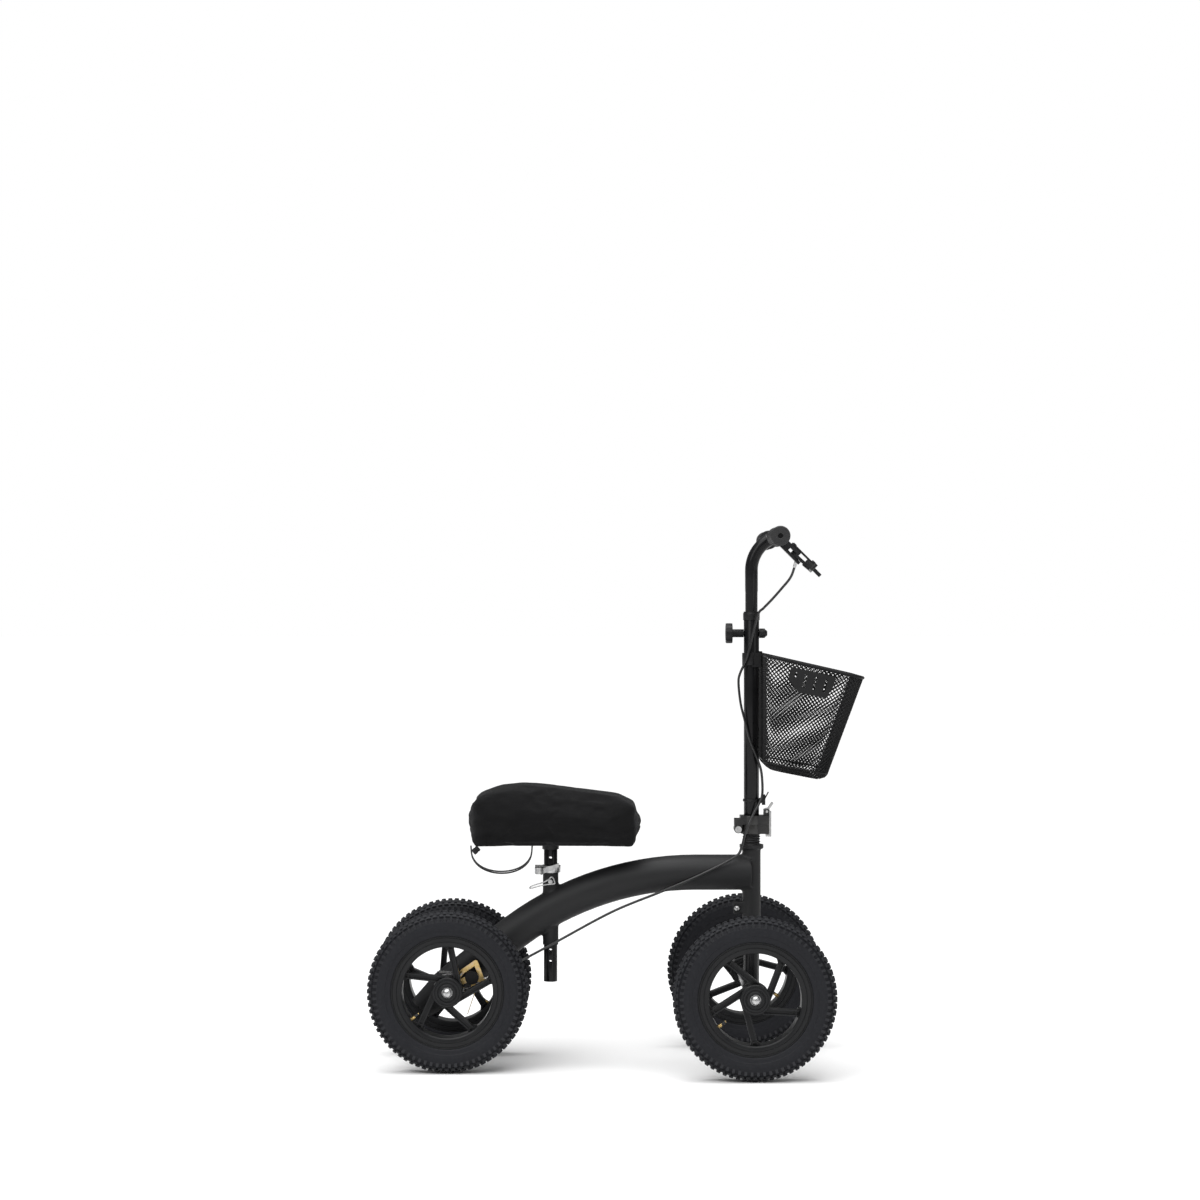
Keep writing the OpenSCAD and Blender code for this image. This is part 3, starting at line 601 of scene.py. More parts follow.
def tyre_mesh():
    """A knobbly tyre about the Y axis: casing with moulded rings and seven rows of knobs."""
    outer = []
    for step in range(60):
        angle = math.radians(2 * step)
        r, y = casing_point(angle)
        ring = 0.5 if 117 < r < 118.6 or 121.4 < r < 122.4 or 136.5 < r < 138 else 0.0
        outer.append((r, y - ring))
    outer += [(113.5, -23.4), (111.2, -22.4), (110.3, -21.6), (110.1, -18.5), (105.5, -16.5)]
    inner = [(105.5, -12.0)]
    inner += [casing_point(math.radians(140 - 14 * step), CASING_WALL) for step in range(11)]
    half = outer + inner
    shape = Shape().lathe(in_metres(half[:-1] + [(r, -y) for r, y in reversed(half[1:])]), 192, closed=True)
    turn = turned(90, "Y")
    for tilt, shift, across, along, height in KNOB_ROWS:
        for side in (1, -1) if tilt else (1,):
            r, y = casing_point(math.radians(tilt * side))
            seat = Matrix.Translation((r * MM, y * MM, 0)) @ turned(tilt * side, "Z")
            for i in range(KNOBS_ROUND):
                spin = turned(360 * (i + shift) / KNOBS_ROUND, "Y")
                wobble = 0.25 * noise.noise(Vector((i * 1.7, tilt, side)))
                low = (-along / 2 * MM, -across / 2 * MM, -2 * MM)
                high = (along / 2 * MM, across / 2 * MM, (height + wobble) * MM)
                shape.box(low, high, spin @ seat @ turn, taper=0.78)
    return shape.mesh("tyre", 40)


def rim_mesh(bearing_r, spoke_end):
    """Moulded wheel: grooved flange ring, stepped hub and five ribbed tangent spokes."""
    face = [(RIM_INNER_R, -13), (RIM_INNER_R + 0.3, -19.5), (90, -21), (91.5, -21.7), (97.6, -21.9),
            (98, -20.9), (98.8, -20.9), (99.2, -21.9), (105.8, -21.9), (106.2, -20.7), (107.2, -20.7),
            (107.6, -21.9), (109.2, -21.8), (RIM_R, -20.8), (RIM_R - 0.6, -17.5), (103, -15), (101, -9)]
    shape = Shape().lathe(in_metres(mirrored(face)), 160, closed=True)
    hub = [(bearing_r, -14), (bearing_r, -22.6), (10.6, -22.7), (10.2, -23.2), (10.8, -23.9), (15.4, -24),
           (16.2, -23.4), (16.6, -21.8), (18.4, -21.8), (18.8, -22.8), (19.4, -23.3), (23, -23.3),
           (23.4, -22.2), (24.6, -22.2), (25, -23.2), (27.6, -22.9), (29, -21.6), (29, -14), (26.5, -10)]
    shape.lathe(in_metres(mirrored(hub)), 96, closed=True)
    reach = math.sqrt(RIM_INNER_R ** 2 - SPOKE_OFFSET ** 2) + 2
    lean = math.degrees(math.asin(SPOKE_OFFSET / RIM_INNER_R))
    for i in range(SPOKES):
        turn = turned(90 - (spoke_end + lean + 360 / SPOKES * i), "Y")
        bars = [((17.2, -5, 0), (27.8, 5, reach)), ((16.6, -10, 0), (19.2, 10, reach)),
                ((25.8, -10, 0), (28.4, 10, reach)), ((16.6, -9, reach - 9), (28.4, 9, reach - 6.5))]
        for low, high in bars:
            shape.box([v * MM for v in low], [v * MM for v in high], turn)
        for x, sign in ((16.6, -1), (28.4, 1)):
            for foot in range(3):
                z = reach - 7 + 2 * foot
                out = 1.2 + 1.6 * foot
                low = (min(x, x + sign * out) * MM, -8 * MM, z * MM)
                high = (max(x, x + sign * out) * MM, 8 * MM, (z + 3) * MM)
                shape.box(low, high, turn)
    return shape.mesh("rim", 30)


def valve_mesh():
    """Brass valve stem with a knurled cap, pointing at the hub."""
    stem = [(2.4, 71), (2.9, 72), (2.9, 78), (2.2, 78.4), (2.2, 80), (3.3, 80.4), (3.3, 83.5),
            (3.9, 84), (3.9, 90), (3.2, 90.5), (3.2, 99)]
    turn = turned(-VALVE_ANGLE, "Y") @ turned(-90, "Z")
    shape = Shape().lathe(in_metres(stem), 24, matrix=turn)
    knurls = 16
    for i in range(knurls):
        spin = turned(360 * i / knurls, "Y")
        shape.box((2.6 * MM, 73 * MM, -0.3 * MM), (3.2 * MM, 77.4 * MM, 0.3 * MM), turn @ spin)
    return shape.mesh("valve", CRISP)


def build_wheels():
    """Tyre, rim and valve of each wheel; the left ones are turned round."""
    tread = tyre_mesh()
    valve = valve_mesh()
    for wheel in WHEELS:
        centre = middle(wheel + "_tyre")
        place = Matrix.Translation(centre) @ turned(180 if wheel.endswith("left") else 0, "Z")
        low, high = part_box(wheel + "_bearings")
        rim = rim_mesh((high.x - low.x) / 2 / MM, SPOKE_END[wheel])
        parts = [("tyre", tread, "tyre_rubber", [wheel + "_tyre"], 0.35),
                 ("rim", rim, "rim_plastic", [wheel + "_rim"], 0.5), ("valve", valve, "brass", [], 0.35)]
        for part, mesh, material, replaced, edge in parts:
            made = piece(f"{wheel}_{part}_visual", mesh, material, wheel + "_wheel", replaced, place)
            bevel(made, edge * MM, 2, 45)


# ---------------------------------------------------------------- knee pad


PAD_CORNER = Vector((15, 18, 15)) * MM
PAD_LOWER_CORNER = 7 * MM
PAD_INSET = Vector((6, 7, 3)) * MM
PAD_BELOW_BOARD = 2.5 * MM
PAD_GRID = 5 * MM
PLEATS = 46


def pad_top(along):
    """Share of the pad's full height at a place from -1, the rear, to 1, the front."""
    rise = max(0.0, -0.45 - along) / 0.5
    fall = max(0.0, along + 0.45)
    return 1 - 0.13 * min(rise, 1.1) ** 2 - 0.21 * fall ** 2 / (fall + 0.35)


def pad_start(low, high):
    """A soft-cornered block, lower at the front, that the cloth cover starts from."""
    mesh = bpy.data.meshes.new("pad")
    block = bmesh.new()
    bmesh.ops.create_cube(block, size=1.0)
    bmesh.ops.subdivide_edges(block, edges=block.edges[:], cuts=30, use_grid_fill=True)
    size = high - low
    centre = (low + high) / 2
    for vert in block.verts:
        place = centre + Vector(a * b for a, b in zip(vert.co, size))
        radii = PAD_CORNER.copy()
        if place.z < centre.z:
            radii.z = PAD_LOWER_CORNER
        inner = Vector(max(a + r, min(b - r, p)) for a, b, r, p in zip(low, high, radii, place))
        away = Vector((p - q) / r for p, q, r in zip(place, inner, radii))
        if away.length > 0:
            away.normalize()
            place = inner + Vector(a * r for a, r in zip(away, radii))
        along = (place.x - centre.x) / (size.x / 2)
        place.z = low.z + (place.z - low.z) * pad_top(along)
        vert.co = place
    block.to_mesh(mesh)
    block.free()
    return mesh


def gather(mesh, low, high):
    """Pulls the cover into puckers round its lower edge and along its two ends."""
    centre = (low + high) / 2
    half = (high - low) / 2
    floor = low.z
    for vert in mesh.vertices:
        u = Vector(((vert.co.x - centre.x) / half.x, (vert.co.y - centre.y) / half.y,
                    (vert.co.z - centre.z) / half.z))
        end = max(0.0, (abs(u.x) - 0.86) / 0.14)
        hem = max(0.0, (-u.z - 0.72) / 0.28)
        around = math.atan2(vert.co.y - centre.y, vert.co.x - centre.x)
        pleat = math.sin(around * PLEATS + 2.4 * noise.noise(vert.co * 30))
        ruck = noise.noise(Vector((vert.co.x * 18, vert.co.y * 30, vert.co.z * 115)))
        crease = noise.noise(Vector((vert.co.x * 9, vert.co.y * 14, vert.co.z * 22)))
        push = 2.2 * MM * hem * pleat + 5.2 * MM * end * ruck + 1.1 * MM * crease
        underneath = vert.co.z < floor + 4 * MM
        vert.co += vert.normal * push
        vert.co.z = floor if underneath else max(vert.co.z, floor)


def build_pad():
    """The cover, blown up as cloth over a smaller block and then gathered."""
    low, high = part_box("knee_pad")
    low.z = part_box("pad_board")[0].z - PAD_BELOW_BOARD
    mesh = pad_start(low + Vector((PAD_INSET.x, PAD_INSET.y, 0)), high - PAD_INSET)
    cover = piece("knee_pad_cover", mesh, "pad_fabric")
    remesh = cover.modifiers.new("remesh", "REMESH")
    remesh.mode = "VOXEL"
    remesh.voxel_size = PAD_GRID
    start = applied(cover)
    cover.modifiers.clear()
    cover.data = start
    cloth = cover.modifiers.new("cloth", "CLOTH")
    cloth.settings.quality = 5
    cloth.settings.use_pressure = True
    cloth.settings.uniform_pressure_force = 4.0
    cloth.settings.tension_stiffness = 40
    cloth.settings.compression_stiffness = 25
    cloth.settings.bending_stiffness = 0.4
    cloth.settings.effector_weights.gravity = 0.0
    scene = bpy.context.scene
    last = 20
    for step in range(1, last + 1):
        scene.frame_set(step)
    blown = applied(cover)
    reach = 9 * MM
    for vert, origin in zip(blown.vertices, start.vertices):
        moved = vert.co - origin.co
        if moved.length > reach:
            vert.co = origin.co + moved * (reach / moved.length)
    cover.modifiers.clear()
    cover.data = blown
    scene.frame_set(1)
    gather(blown, low, high)
    subdivide = cover.modifiers.new("subdivide", "SUBSURF")
    subdivide.levels = subdivide.render_levels = 1
    blown.materials.clear()
    blown.materials.append(MATERIALS["pad_fabric"])
    blown.shade_smooth()
    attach(cover, "seat")
    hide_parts("knee_pad")


def build_drawstring():
    """Two hanging cords and the lock that slides on them."""
    low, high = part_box("pad_drawstring")
    y = (low.y + high.y) / 2
    for name, shift, drop in (("near", 2.5, 0.0), ("far", -2.5, 4.0)):
        half = (high.x - low.x) / 2 + 1 * MM
        mid = (low.x + high.x) / 2
        points = []
        for i in range(13):
            angle = math.radians(180 * i / 12)
            x = mid - half * math.cos(angle)
            z = high.z - (high.z - low.z - (2 + drop) * MM) * math.sin(angle) ** 0.75
            points.append(Vector((x, y + shift * MM * math.sin(angle * 1.5), z)))
        tube(f"drawstring_{name}", smooth_line(points), 1.6 * MM, "cord_fabric", "seat",
             ["pad_drawstring"] if name == "near" else [])
    profile = [(0.1, -7), (5.2, -7), (6.0, -6), (6.2, 0), (5.4, 1), (5.4, 2), (6.2, 3), (6.0, 6.4),
               (5.0, 7.2), (0.1, 7.2)]
    mesh = Shape().lathe(in_metres(profile), 32).mesh("cord_lock", CRISP)
    place = Matrix.Translation((low.x + 9 * MM, y, high.z - 9 * MM))
    turn = turned(48, "Y") @ turned(90, "X")
    piece("cord_lock", mesh, "black_plastic", "seat", place=place @ turn)


# ---------------------------------------------------------------- basket


TUB_CORNER = 26 * MM
TUB_ROUND_OVER = 0.055
NET_COLUMNS = 104
NET_ROWS = 50
NET_FLOOR_ROWS = 16


def rounded_loop(x0, x1, half_y, corner, count):
    """Points evenly spaced round a rectangle with rounded corners, as (x, y)."""
    centres = [(x1 - corner, half_y - corner, 0), (x0 + corner, half_y - corner, 90),
               (x0 + corner, -half_y + corner, 180), (x1 - corner, -half_y + corner, 270)]
    dense = []
    for cx, cy, start in centres:
        for step in range(13):
            angle = math.radians(start + 90 * step / 12)
            dense.append(Vector((cx + corner * math.cos(angle), cy + corner * math.sin(angle))))
    dense.append(dense[0])
    lengths = [0.0]
    for a, b in zip(dense, dense[1:]):
        lengths.append(lengths[-1] + (b - a).length)
    points = []
    at = 0
    for i in range(count):
        wanted = lengths[-1] * i / count
        while lengths[at + 1] < wanted:
            at += 1
        part = (wanted - lengths[at]) / (lengths[at + 1] - lengths[at])
        points.append(dense[at].lerp(dense[at + 1], part))
    return points


class Tub:
    """The basket's outline: loops from the floor (0) to the rim (1)."""

    def __init__(self):
        low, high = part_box("basket")
        hook = 4.5 * MM
        self.back = low.x + 5.7 * MM
        self.rim_z = (high.z - hook - 2 * MM, high.z - hook - 45 * MM)
        self.floor_z = (low.z + 15 * MM, low.z - 6 * MM)
        self.front = (low.x + (high.x - low.x) * 0.63, high.x - 1 * MM)
        self.half = (high.y - 25 * MM, high.y - 1 * MM)

    def corner_inset(self, up):
        """How far the tub draws in where it rounds over to its floor."""
        part = max(0.0, 1 - up / TUB_ROUND_OVER)
        return 12 * MM * (1 - math.sqrt(1 - part ** 2))

    def loop(self, up, count, inset=0.0):
        """Points round the tub at a height between the floor and the rim."""
        front = self.front[0] + (self.front[1] - self.front[0]) * up - inset
        half = self.half[0] + (self.half[1] - self.half[0]) * up - inset
        back_z = self.floor_z[0] + (self.rim_z[0] - self.floor_z[0]) * up
        front_z = self.floor_z[1] + (self.rim_z[1] - self.floor_z[1]) * up
        points = []
        for x, y in rounded_loop(self.back + inset, front, half, TUB_CORNER, count):
            part = (x - self.back) / (front - self.back)
            points.append(Vector((x, y, back_z + (front_z - back_z) * part)))
        return points


def diamonds(rows):
    """Diamond faces over rows of points: every other row is shifted half a cell."""
    columns = len(rows[0])
    verts = []
    for j, row in enumerate(rows):
        for i, point in enumerate(row):
            following = row[(i + 1) % columns]
            verts.append(point.lerp(following, 0.5) if j % 2 else point)
    faces = []
    for j in range(len(rows) - 2):
        for i in range(columns):
            right = i if j % 2 == 0 else (i + 1) % columns
            left = (i - 1) % columns if j % 2 == 0 else i
            faces.append((j * columns + i, (j + 1) * columns + right,
                          (j + 2) * columns + i, (j + 1) * columns + left))
    return verts, faces


def build_basket_plate(tub):
    """A plain slotted plate on the tub's near side, level with its sloping rim."""
    outline = [(-44, 20), (44, 20), (44, 2), (35, -25), (-20, -25), (-44, -3)]
    slots = [(-32, 2, 12), (-12, -14, 12), (8, -14, 12), (28, -14, 12)]
    data = bpy.data.curves.new("plate", "CURVE")
    data.dimensions = "2D"
    data.fill_mode = "BOTH"
    data.extrude = 1.0 * MM
    data.bevel_depth = 0.3 * MM
    holes = [[(x - 2.5, low), (x + 2.5, low), (x + 2.5, high), (x - 2.5, high)] for x, low, high in slots]
    for ring in [outline] + holes:
        line = data.splines.new("POLY")
        line.points.add(len(ring) - 1)
        for point, (x, z) in zip(line.points, ring):
            point.co = (x * MM, z * MM, 0, 1)
        line.use_cyclic_u = True
    mesh = curve_mesh(data)
    slope = math.atan2(tub.rim_z[1] - tub.rim_z[0], tub.front[1] - tub.back)
    up = 0.86
    half = tub.half[0] + (tub.half[1] - tub.half[0]) * up
    place = Matrix.Translation((tub.back + 86 * MM, -half - 2.2 * MM, tub.rim_z[0] - 50 * MM))
    lean = math.atan2(tub.half[1] - tub.half[0], tub.rim_z[0] - tub.floor_z[0])
    turn = Matrix.Rotation(-slope, 4, "Y") @ Matrix.Rotation(math.pi / 2 + lean, 4, "X")
    piece("basket_plate", mesh, "black_plastic", "basket", place=place @ turn)


def build_basket():
    """Expanded-mesh tub with a wire rim, a bottom wire, a slotted plate and a hook."""
    tub = Tub()
    heights = [row / NET_ROWS for row in range(NET_ROWS + 1)]
    rows = [tub.loop(up, NET_COLUMNS, tub.corner_inset(up)) for up in heights]
    shape = Shape().add(*diamonds(rows))
    outline = rows[0]
    mid = sum(outline, Vector()) / NET_COLUMNS
    shares = [1 - row / NET_FLOOR_ROWS for row in range(NET_FLOOR_ROWS)]
    shape.add(*diamonds([[mid.lerp(point, share) for point in outline] for share in shares]))
    net = piece("basket_net", shape.mesh("basket_net"), "basket_mesh", "basket", ["basket"])
    wire = net.modifiers.new("strands", "WIREFRAME")
    wire.thickness = 2.2 * MM
    wire.use_even_offset = True
    for name, up, radius in (("rim", 1.0, 3.2), ("bottom", TUB_ROUND_OVER, 1.8)):
        loop = tub.loop(up, 96)
        tube(f"basket_{name}_wire", loop + loop[:2], radius * MM, "basket_mesh", "basket")
    build_basket_plate(tub)
    low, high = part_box("basket")
    hook = Shape()
    hook.box((tub.back - 2.4 * MM, -14 * MM, high.z - 28 * MM), (tub.back - 0.2 * MM, 14 * MM, high.z))
    hook.box((low.x, -14 * MM, high.z - 2 * MM), (tub.back - 0.2 * MM, 14 * MM, high.z))
    made = piece("basket_hook", hook.mesh("basket_hook"), "basket_mesh", "basket")
    bevel(made, 0.6 * MM)


# ---------------------------------------------------------------- cables and spring


def build_cables():
    """One sheathed cable from the brake lever to the rear brake, cut at every joint."""
    sheath = 2.5 * MM
    steer = joint_place("steering").x / MM
    bar = at_mm((354.3, -78.8, 994.2), (351, -72, 981), (344, -62, 962), (326, -48, 939),
                (309, -36, 919), (294, -28, 903), (283, -24, 890), (270, -22, 840), (262.5, -20.5, 806))
    stem = at_mm(*((steer + x, y, z) for x, y, z in [
        (-9, -20.5, 806), (-22.5, -10, 775), (-26, -6, 755), (-22, -8, 715), (-15, -13, 685),
        (-3, -19.5, 640), (12.5, -17.5, 600), (19.5, -12, 575), (21, -11.5, 535),
        (13.5, -18.5, 515), (5, -22.5, 501), (-8, -31, 474), (-16, -33, 452), (-21.5, -34, 431)]))
    down = at_mm((250, -34, 431), (236, -38, 412), (168, -39, 377), (90, -33, 343), (-4.5, -30, 304),
                 (-113.5, -28, 245), (-170, -38, 216))
    end = middle("brake_cable_adjuster") + Vector((5, 0, 3)) * MM
    route = bar[:-1] + stem[:-1] + down + [end]
    line = smooth_line(route, 6)

    def between(first, last):
        """The part of the line from one place to another."""
        start = min(range(len(line)), key=lambda i: (line[i] - first).length)
        stop = min(range(len(line)), key=lambda i: (line[i] - last).length)
        return line[start:stop + 1]

    slack_top, slack_end = bar[6], stem[0]
    tube("cable_bar", between(bar[0], slack_top), sheath, "cable_sheath", "handlebar", ["bar_brake_cable"])
    joined = tube("cable_slack", between(slack_top, slack_end), sheath, "cable_sheath")
    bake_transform(joined)
    tube("cable_stem", between(stem[0], stem[10]), sheath, "cable_sheath", "stem", ["stem_brake_cable"])
    joined = tube("cable_hinge", between(stem[10], stem[12]), sheath, "cable_sheath")
    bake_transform(joined)
    joined = tube("cable_neck", between(stem[12], down[1]), sheath, "cable_sheath")
    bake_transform(joined)
    tube("cable_frame", between(down[1], end), sheath, "cable_sheath", "frame", ["frame_brake_cable"])
    ferrules = (("top", bar[0], bar[1], "handlebar"), ("rear", end, down[-1], "frame"))
    for name, spot, near, body in ferrules:
        ferrule = [spot, spot + (near - spot).normalized() * 12 * MM]
        tube(f"ferrule_{name}", ferrule, 3.3 * MM, "zinc_silver", body)
    return steer


def build_inner_wire():
    """The bare wire from the adjuster to the band clamp's arm."""
    start = middle("brake_cable_adjuster")
    end = joint_place("brake_arm_swing") + Vector((4, -5, -25)) * MM
    points = [start, start.lerp(end, 0.4) + Vector((-6, 0, 2)) * MM, end]
    wire = tube("inner_wire", smooth_line(points), 0.8 * MM, "zinc_silver")
    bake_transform(wire)


def build_zip_tie(steer):
    """The tie that holds the cable to the stem, with its tail sticking up."""
    z = 522 * MM
    ring = []
    for i in range(25):
        angle = 2 * math.pi * i / 24
        ring.append(Vector((steer * MM + 16.4 * MM * math.cos(angle), 16.4 * MM * math.sin(angle), z)))
    for row in (-1, 0, 1):
        tube(f"tie_band_{row + 1}", [p + Vector((0, 0, row * 1.5 * MM)) for p in ring], 1.0 * MM,
             "black_plastic", "stem")
    head = Shape().box((14 * MM, -6 * MM, -5 * MM), (24 * MM, 2 * MM, 5 * MM))
    head.box((20 * MM, -4 * MM, -9 * MM), (27 * MM, 0, 12 * MM))
    mesh = head.mesh("tie_head")
    mesh.transform(Matrix.Translation((steer * MM, -8 * MM, z)))
    bevel(piece("tie_head", mesh, "black_plastic", "stem"), 1.0 * MM)
    tail = at_mm((steer + 22, -12, 516), (steer + 27, -12, 528), (steer + 33, -11, 539))
    tube("tie_tail", smooth_line(tail), 1.3 * MM, "black_plastic", "stem")


def build_pin():
    """Safety pin: a shank with a head, and a wire clip that hangs back to one side."""
    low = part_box("safety_pin")[0]
    face_y = low.y + 1 * MM
    x = middle("seat_post").x
    z = low.z + 7.2 * MM
    profile = [(0.1, 0), (4.0, 0), (4.5, 0.6), (4.5, 2.6), (2.9, 3), (2.9, 10.6), (0.1, 11.4)]
    mesh = Shape().lathe(in_metres(profile), 32).mesh("pin_shank", CRISP)
    piece("pin_shank", mesh, "zinc_silver", "pin", ["safety_pin"], Matrix.Translation((x, face_y, z)))
    ring = [(7.5, -4), (8.5, -0.5), (5, 8), (1, 9), (-4, 4), (-14, -1), (-30, -6), (-39, -9.5), (-41, -12),
            (-37, -12.5), (-24, -9), (-8, -5.5)]
    points = [Vector((x + px * MM, face_y - 0.3 * MM, z + pz * MM)) for px, pz in ring]
    tube("pin_clip", smooth_line(points, closed=True), 1.3 * MM, "zinc_silver", "pin", closed=True)


def build_headset():
    """Ribbed rubber boot over the steering bearings, on a black cup round the head tube."""
    low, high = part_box("headset_boot")
    centre = joint_place("steering")
    foot = Matrix.Translation((centre.x, centre.y, low.z)) @ turned(90, "X")
    tall = (high.z - low.z) / MM
    outer = (high.x - low.x) / 2 / MM
    folds = 4
    steps = folds * 8
    profile = []
    for i in range(steps + 1):
        part = i / steps
        profile.append((outer - 1.2 + 1.1 * math.cos(2 * math.pi * folds * part), tall * part))
    profile += [(outer - 3.6, tall), (outer - 3.6, 0)]
    mesh = Shape().lathe(in_metres(profile), 72, closed=True, matrix=foot).mesh("headset_boot", CRISP)
    piece("boot_bellows", mesh, "grip_rubber", "fork", ["headset_boot"])
    cup = [(outer - 1, -0.6), (23.2, -0.6), (23.8, -1.2), (23.8, -4.2), (23.2, -5.0), (outer - 1, -5.0)]
    mesh = Shape().lathe(in_metres(cup), 72, closed=True, matrix=foot).mesh("headset_cup", 40)
    piece("headset_cup", mesh, "black_plastic", "frame")


def build_pad_board():
    """The pad's plywood board, a little smaller than the cover that hides its edges."""
    low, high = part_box("pad_board")
    edge = 14 * MM
    ring = rounded_loop(low.x + edge, high.x - edge, high.y - edge, 22 * MM, 64)
    mesh = Shape().skin([[(x, y, z) for x, y in ring] for z in (low.z, high.z)]).mesh("board_panel")
    made = piece("board_panel", mesh, "board_wood", "seat", ["pad_board"])
    bevel(made, 0.8 * MM)


def build_clamp_lever():
    """Quick-release lever: a flat band that curls round the seat tube from its cam."""
    low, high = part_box("seat_clamp_lever")
    seat = middle("seat_post")
    pivot = joint_place("seat_clamp_swing")
    z = (low.z + high.z) / 2
    rows = []
    steps = 28
    for i in range(steps + 1):
        part = i / steps
        angle = math.radians(214 + 98 * part)
        radius = (23.6 + 1.8 * part ** 3) * MM
        half = (6.2 - 2.0 * part) * MM
        rise = (-5 + 14 * part) * MM
        section = []
        for inward, up in ((0, -half), (0, half), (2.8 * MM, half), (2.8 * MM, -half)):
            r = radius - inward
            section.append((seat.x + r * math.cos(angle), seat.y + r * math.sin(angle), z + rise + up))
        rows.append(section)
    band = Shape().skin(rows)
    upright = Matrix.Translation((pivot.x, pivot.y, z - 2 * MM)) @ turned(90, "X")
    cam = [(2.6, -6.6), (6.2, -6.8), (7.2, -6.0), (7.2, 6.0), (6.2, 6.8), (2.6, 6.6), (2.4, 5.4),
           (2.4, -5.4)]
    band.lathe(in_metres(cam), 40, closed=True, matrix=upright)
    mesh = band.mesh("clamp_lever", CRISP)
    made = piece("clamp_lever_band", mesh, "zinc_silver", "clamp_lever", ["seat_clamp_lever"])
    bevel(made, 0.5 * MM)


def build_frame():
    """The frame with its welds filled in smoothly, as the thick paint leaves them."""
    node = nodes["main_frame"]
    made = piece("frame_painted", node.data.copy(), "frame_paint")
    remesh = made.modifiers.new("remesh", "REMESH")
    remesh.mode = "VOXEL"
    remesh.voxel_size = 1.7 * MM
    mesh = applied(made)
    made.modifiers.clear()
    made.data = mesh
    seat = middle("seat_post")
    steer = joint_place("steering")
    welded = []
    for vert in mesh.vertices:
        from_seat = math.hypot(vert.co.x - seat.x, vert.co.y)
        from_head = math.hypot(vert.co.x - steer.x, vert.co.y)
        behind_head = vert.co.x < steer.x and 16 * MM < from_head < 30 * MM
        if behind_head or 13 * MM < from_seat < 32 * MM:
            welded.append(vert.index)
    made.vertex_groups.new(name="weld").add(welded, 1.0, "REPLACE")
    for name, group, repeats in (("paint", "", 3), ("fillet", "weld", 22)):
        soften = made.modifiers.new(name, "SMOOTH")
        soften.factor = 0.5
        soften.iterations = repeats
        soften.vertex_group = group
    mesh.shade_smooth()
    mesh.materials.clear()
    mesh.materials.append(MATERIALS["frame_paint"])
    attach(made, "frame")
    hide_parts("main_frame")


def build_spring():
    """Coil return spring with straight hooks, between its two posts."""
    low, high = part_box("brake_return_spring")
    start = Vector((low.x, (low.y + high.y) / 2, high.z - 3 * MM))
    end = Vector((high.x, (low.y + high.y) / 2, low.z + 3 * MM))
    along = end - start
    turns = 13
    points = []
    for i in range(turns * 12 + 1):
        angle = 2 * math.pi * i / 12
        place = start + along * (0.12 + 0.76 * i / (turns * 12))
        points.append(place + Vector((0, 2.3 * MM * math.cos(angle), 2.3 * MM * math.sin(angle))))
    coil = [start, *points, end]
    tube("return_spring", coil, 0.45 * MM, "zinc_silver", "frame", ["brake_return_spring"])


# ---------------------------------------------------------------- handlebar details


def build_grips():
    """Ribbed grips with a flange, rows of ribs and a hole in the end."""
    low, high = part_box("grips")
    radius = (high.z - low.z) / 2 / MM
    length = 116
    profile = [(11.4, 0), (radius, 0), (radius, 2.4), (radius - 2.6, 4)]
    ribs = 19
    for i in range(ribs):
        y = 6 + (length - 16) * i / ribs
        profile += [(radius - 2.8, y), (radius - 1.2, y + 1), (radius - 1.2, y + 3), (radius - 2.8, y + 4)]
    profile += [(radius - 1.2, length - 8), (radius, length - 6), (radius, length - 1.8),
                (radius - 1.6, length)]
    profile += [(5.6, length), (4.6, length - 1), (4.6, length - 8), (11.4, length - 9)]
    shape = Shape()
    mid = (low + high) / 2
    for side in (-1, 1):
        start = Matrix.Translation((mid.x, side * (high.y - length * MM), mid.z))
        turn = turned(0 if side > 0 else 180, "Z")
        shape.lathe(in_metres(profile), 64, closed=True, matrix=start @ turn)
    mesh = shape.mesh("grips", CRISP)
    made = piece("grips_ribbed", mesh, "grip_rubber", "handlebar", ["grips"])
    bevel(made, 0.4 * MM, 2, 30)


def build_knob():
    """Height knob: a fluted head on its threaded rod's collar."""
    low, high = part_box("height_knob")
    mid = (low + high) / 2
    radius = (high.y - low.y) / 2 + 0.4 * MM
    profile = [(0.0, 0.55), (0.2, 0.9), (0.45, 0.93), (1.4, 1.0), (6.5, 1.0), (11.6, 1.0), (12.6, 0.93),
               (13.0, 0.86), (12.4, 0.6), (12.4, 0.3)]
    count = 120
    flutes = 9
    rows = []
    for along, share in profile:
        depth = 0.045 if share > 0.85 else 0.0
        ring = []
        for i in range(count):
            angle = 2 * math.pi * i / count
            r = radius * share * (1 - depth * max(0.0, math.cos(flutes * angle)) ** 2)
            ring.append((low.x + along * MM, mid.y + r * math.cos(angle), mid.z + r * math.sin(angle)))
        rows.append(ring)
    mesh = Shape().skin(rows).mesh("knob_head", CRISP)
    made = piece("knob_head", mesh, "black_plastic", "knob")
    bevel(made, 0.4 * MM)


# ---------------------------------------------------------------- CAD nodes


def dress_nodes():
    """Gives every CAD node its slot's material and rounds its edges a little."""
    slots = {part["node"]: part["material_slot"] for part in record["subparts"]}
    for name, node in nodes.items():
        node.data.materials.clear()
        node.data.materials.append(MATERIALS[slots[name]])
        if node.hide_render:
            continue
        weld = node.modifiers.new("weld", "WELD")
        weld.merge_threshold = 0.01 * MM
        rounded = bevel(node, 0.4 * MM, 2, 38)
        rounded.use_clamp_overlap = True


# ---------------------------------------------------------------- studio


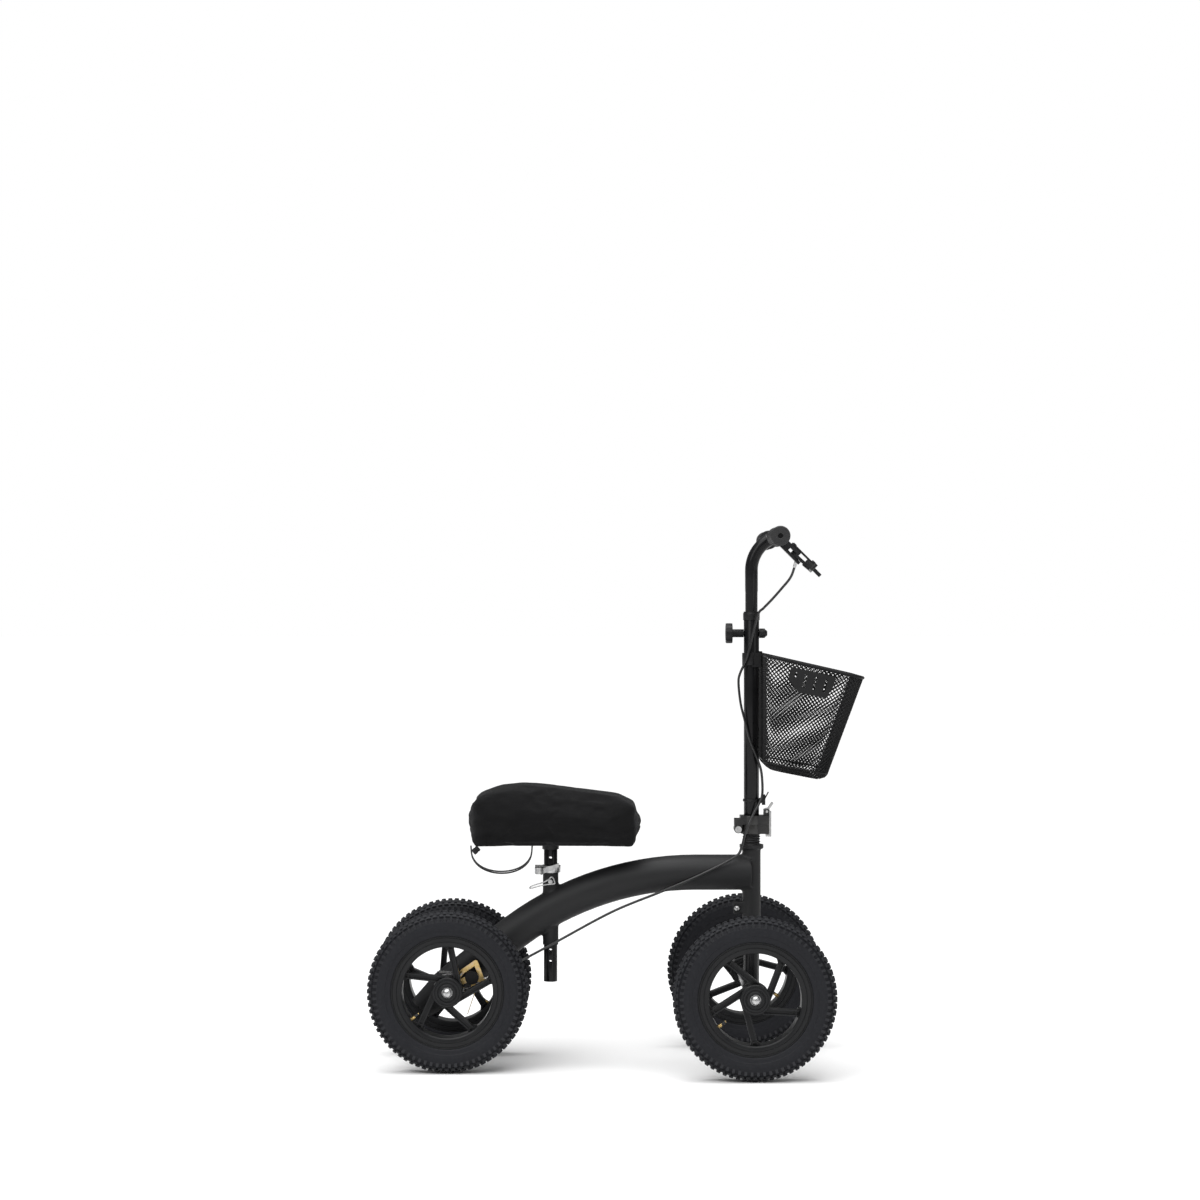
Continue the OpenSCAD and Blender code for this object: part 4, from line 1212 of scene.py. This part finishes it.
def build_floor(half):
    """A pale floor that runs on to the horizon."""
    corners = [(-half, -half, 0), (half, -half, 0), (half, half, 0), (-half, half, 0)]
    mesh = Shape().add(corners, [(0, 1, 2, 3)]).mesh("floor")
    mesh.materials.append(studio_floor())
    linked("floor", mesh)


def build_world(seen, cast):
    """A white surround as the camera sees it, which lights the object less."""
    world = bpy.data.worlds.new("studio")
    world.use_nodes = True
    tree = world.node_tree
    background = tree.nodes["Background"]
    background.inputs["Color"].default_value = (1, 1, 1, 1)
    path = tree.nodes.new("ShaderNodeLightPath")
    strength = tree.nodes.new("ShaderNodeMapRange")
    strength.inputs["To Min"].default_value = cast
    strength.inputs["To Max"].default_value = seen
    tree.links.new(path.outputs["Is Camera Ray"], strength.inputs["Value"])
    tree.links.new(strength.outputs["Result"], background.inputs["Strength"])
    bpy.context.scene.world = world


def build_sun(power, softness, tilt, turn):
    """One broad soft lamp, far away, that lights the whole floor evenly."""
    data = bpy.data.lights.new("sun", "SUN")
    data.energy = power
    data.angle = math.radians(softness)
    linked("sun", data).rotation_euler = (math.radians(tilt), 0, math.radians(turn))


def softbox(name, place, aim, size, power):
    """A rectangular lamp at a place, turned towards an aim."""
    data = bpy.data.lights.new(name, "AREA")
    data.shape = "RECTANGLE"
    data.size, data.size_y = size
    data.energy = power
    made = linked(name, data)
    made.location = place
    made.rotation_euler = (Vector(aim) - Vector(place)).to_track_quat("-Z", "Y").to_euler()


def build_studio():
    """Pale floor, white surround and soft lamps."""
    build_floor(60.0)
    build_world(1.0, 0.3)
    build_sun(3.15, 70, 22, -20)
    target = (0, 0, 0.4)
    softbox("key", (-2.0, -2.6, 2.6), target, (1.8, 1.8), 26)
    softbox("fill", (2.6, -2.4, 1.6), target, (1.2, 2.2), 12)
    softbox("top", (0.0, 0.2, 3.2), target, (3.0, 1.6), 30)
    bpy.context.scene.view_settings.view_transform = "Standard"


def build_camera():
    """A level camera square to the scooter's right side, midway between the axles."""
    x = (middle("front_axle").x + middle("rear_axle").x) / 2
    data = bpy.data.cameras.new("camera")
    data.lens = CAMERA_LENS
    data.sensor_width = 36.0
    made = linked("camera", data)
    made.location = (x, -CAMERA_DISTANCE, CAMERA_HEIGHT)
    made.rotation_euler = (math.pi / 2, 0.0, 0.0)
    bpy.context.scene.camera = made


def write_size():
    """Updates the view layer."""
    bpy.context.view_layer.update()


build_wheels()
build_pad()
build_drawstring()
build_basket()
build_zip_tie(build_cables())
build_inner_wire()
build_frame()
build_pin()
build_headset()
build_pad_board()
build_clamp_lever()
build_spring()
build_grips()
build_knob()
dress_nodes()
build_studio()
build_camera()
write_size()
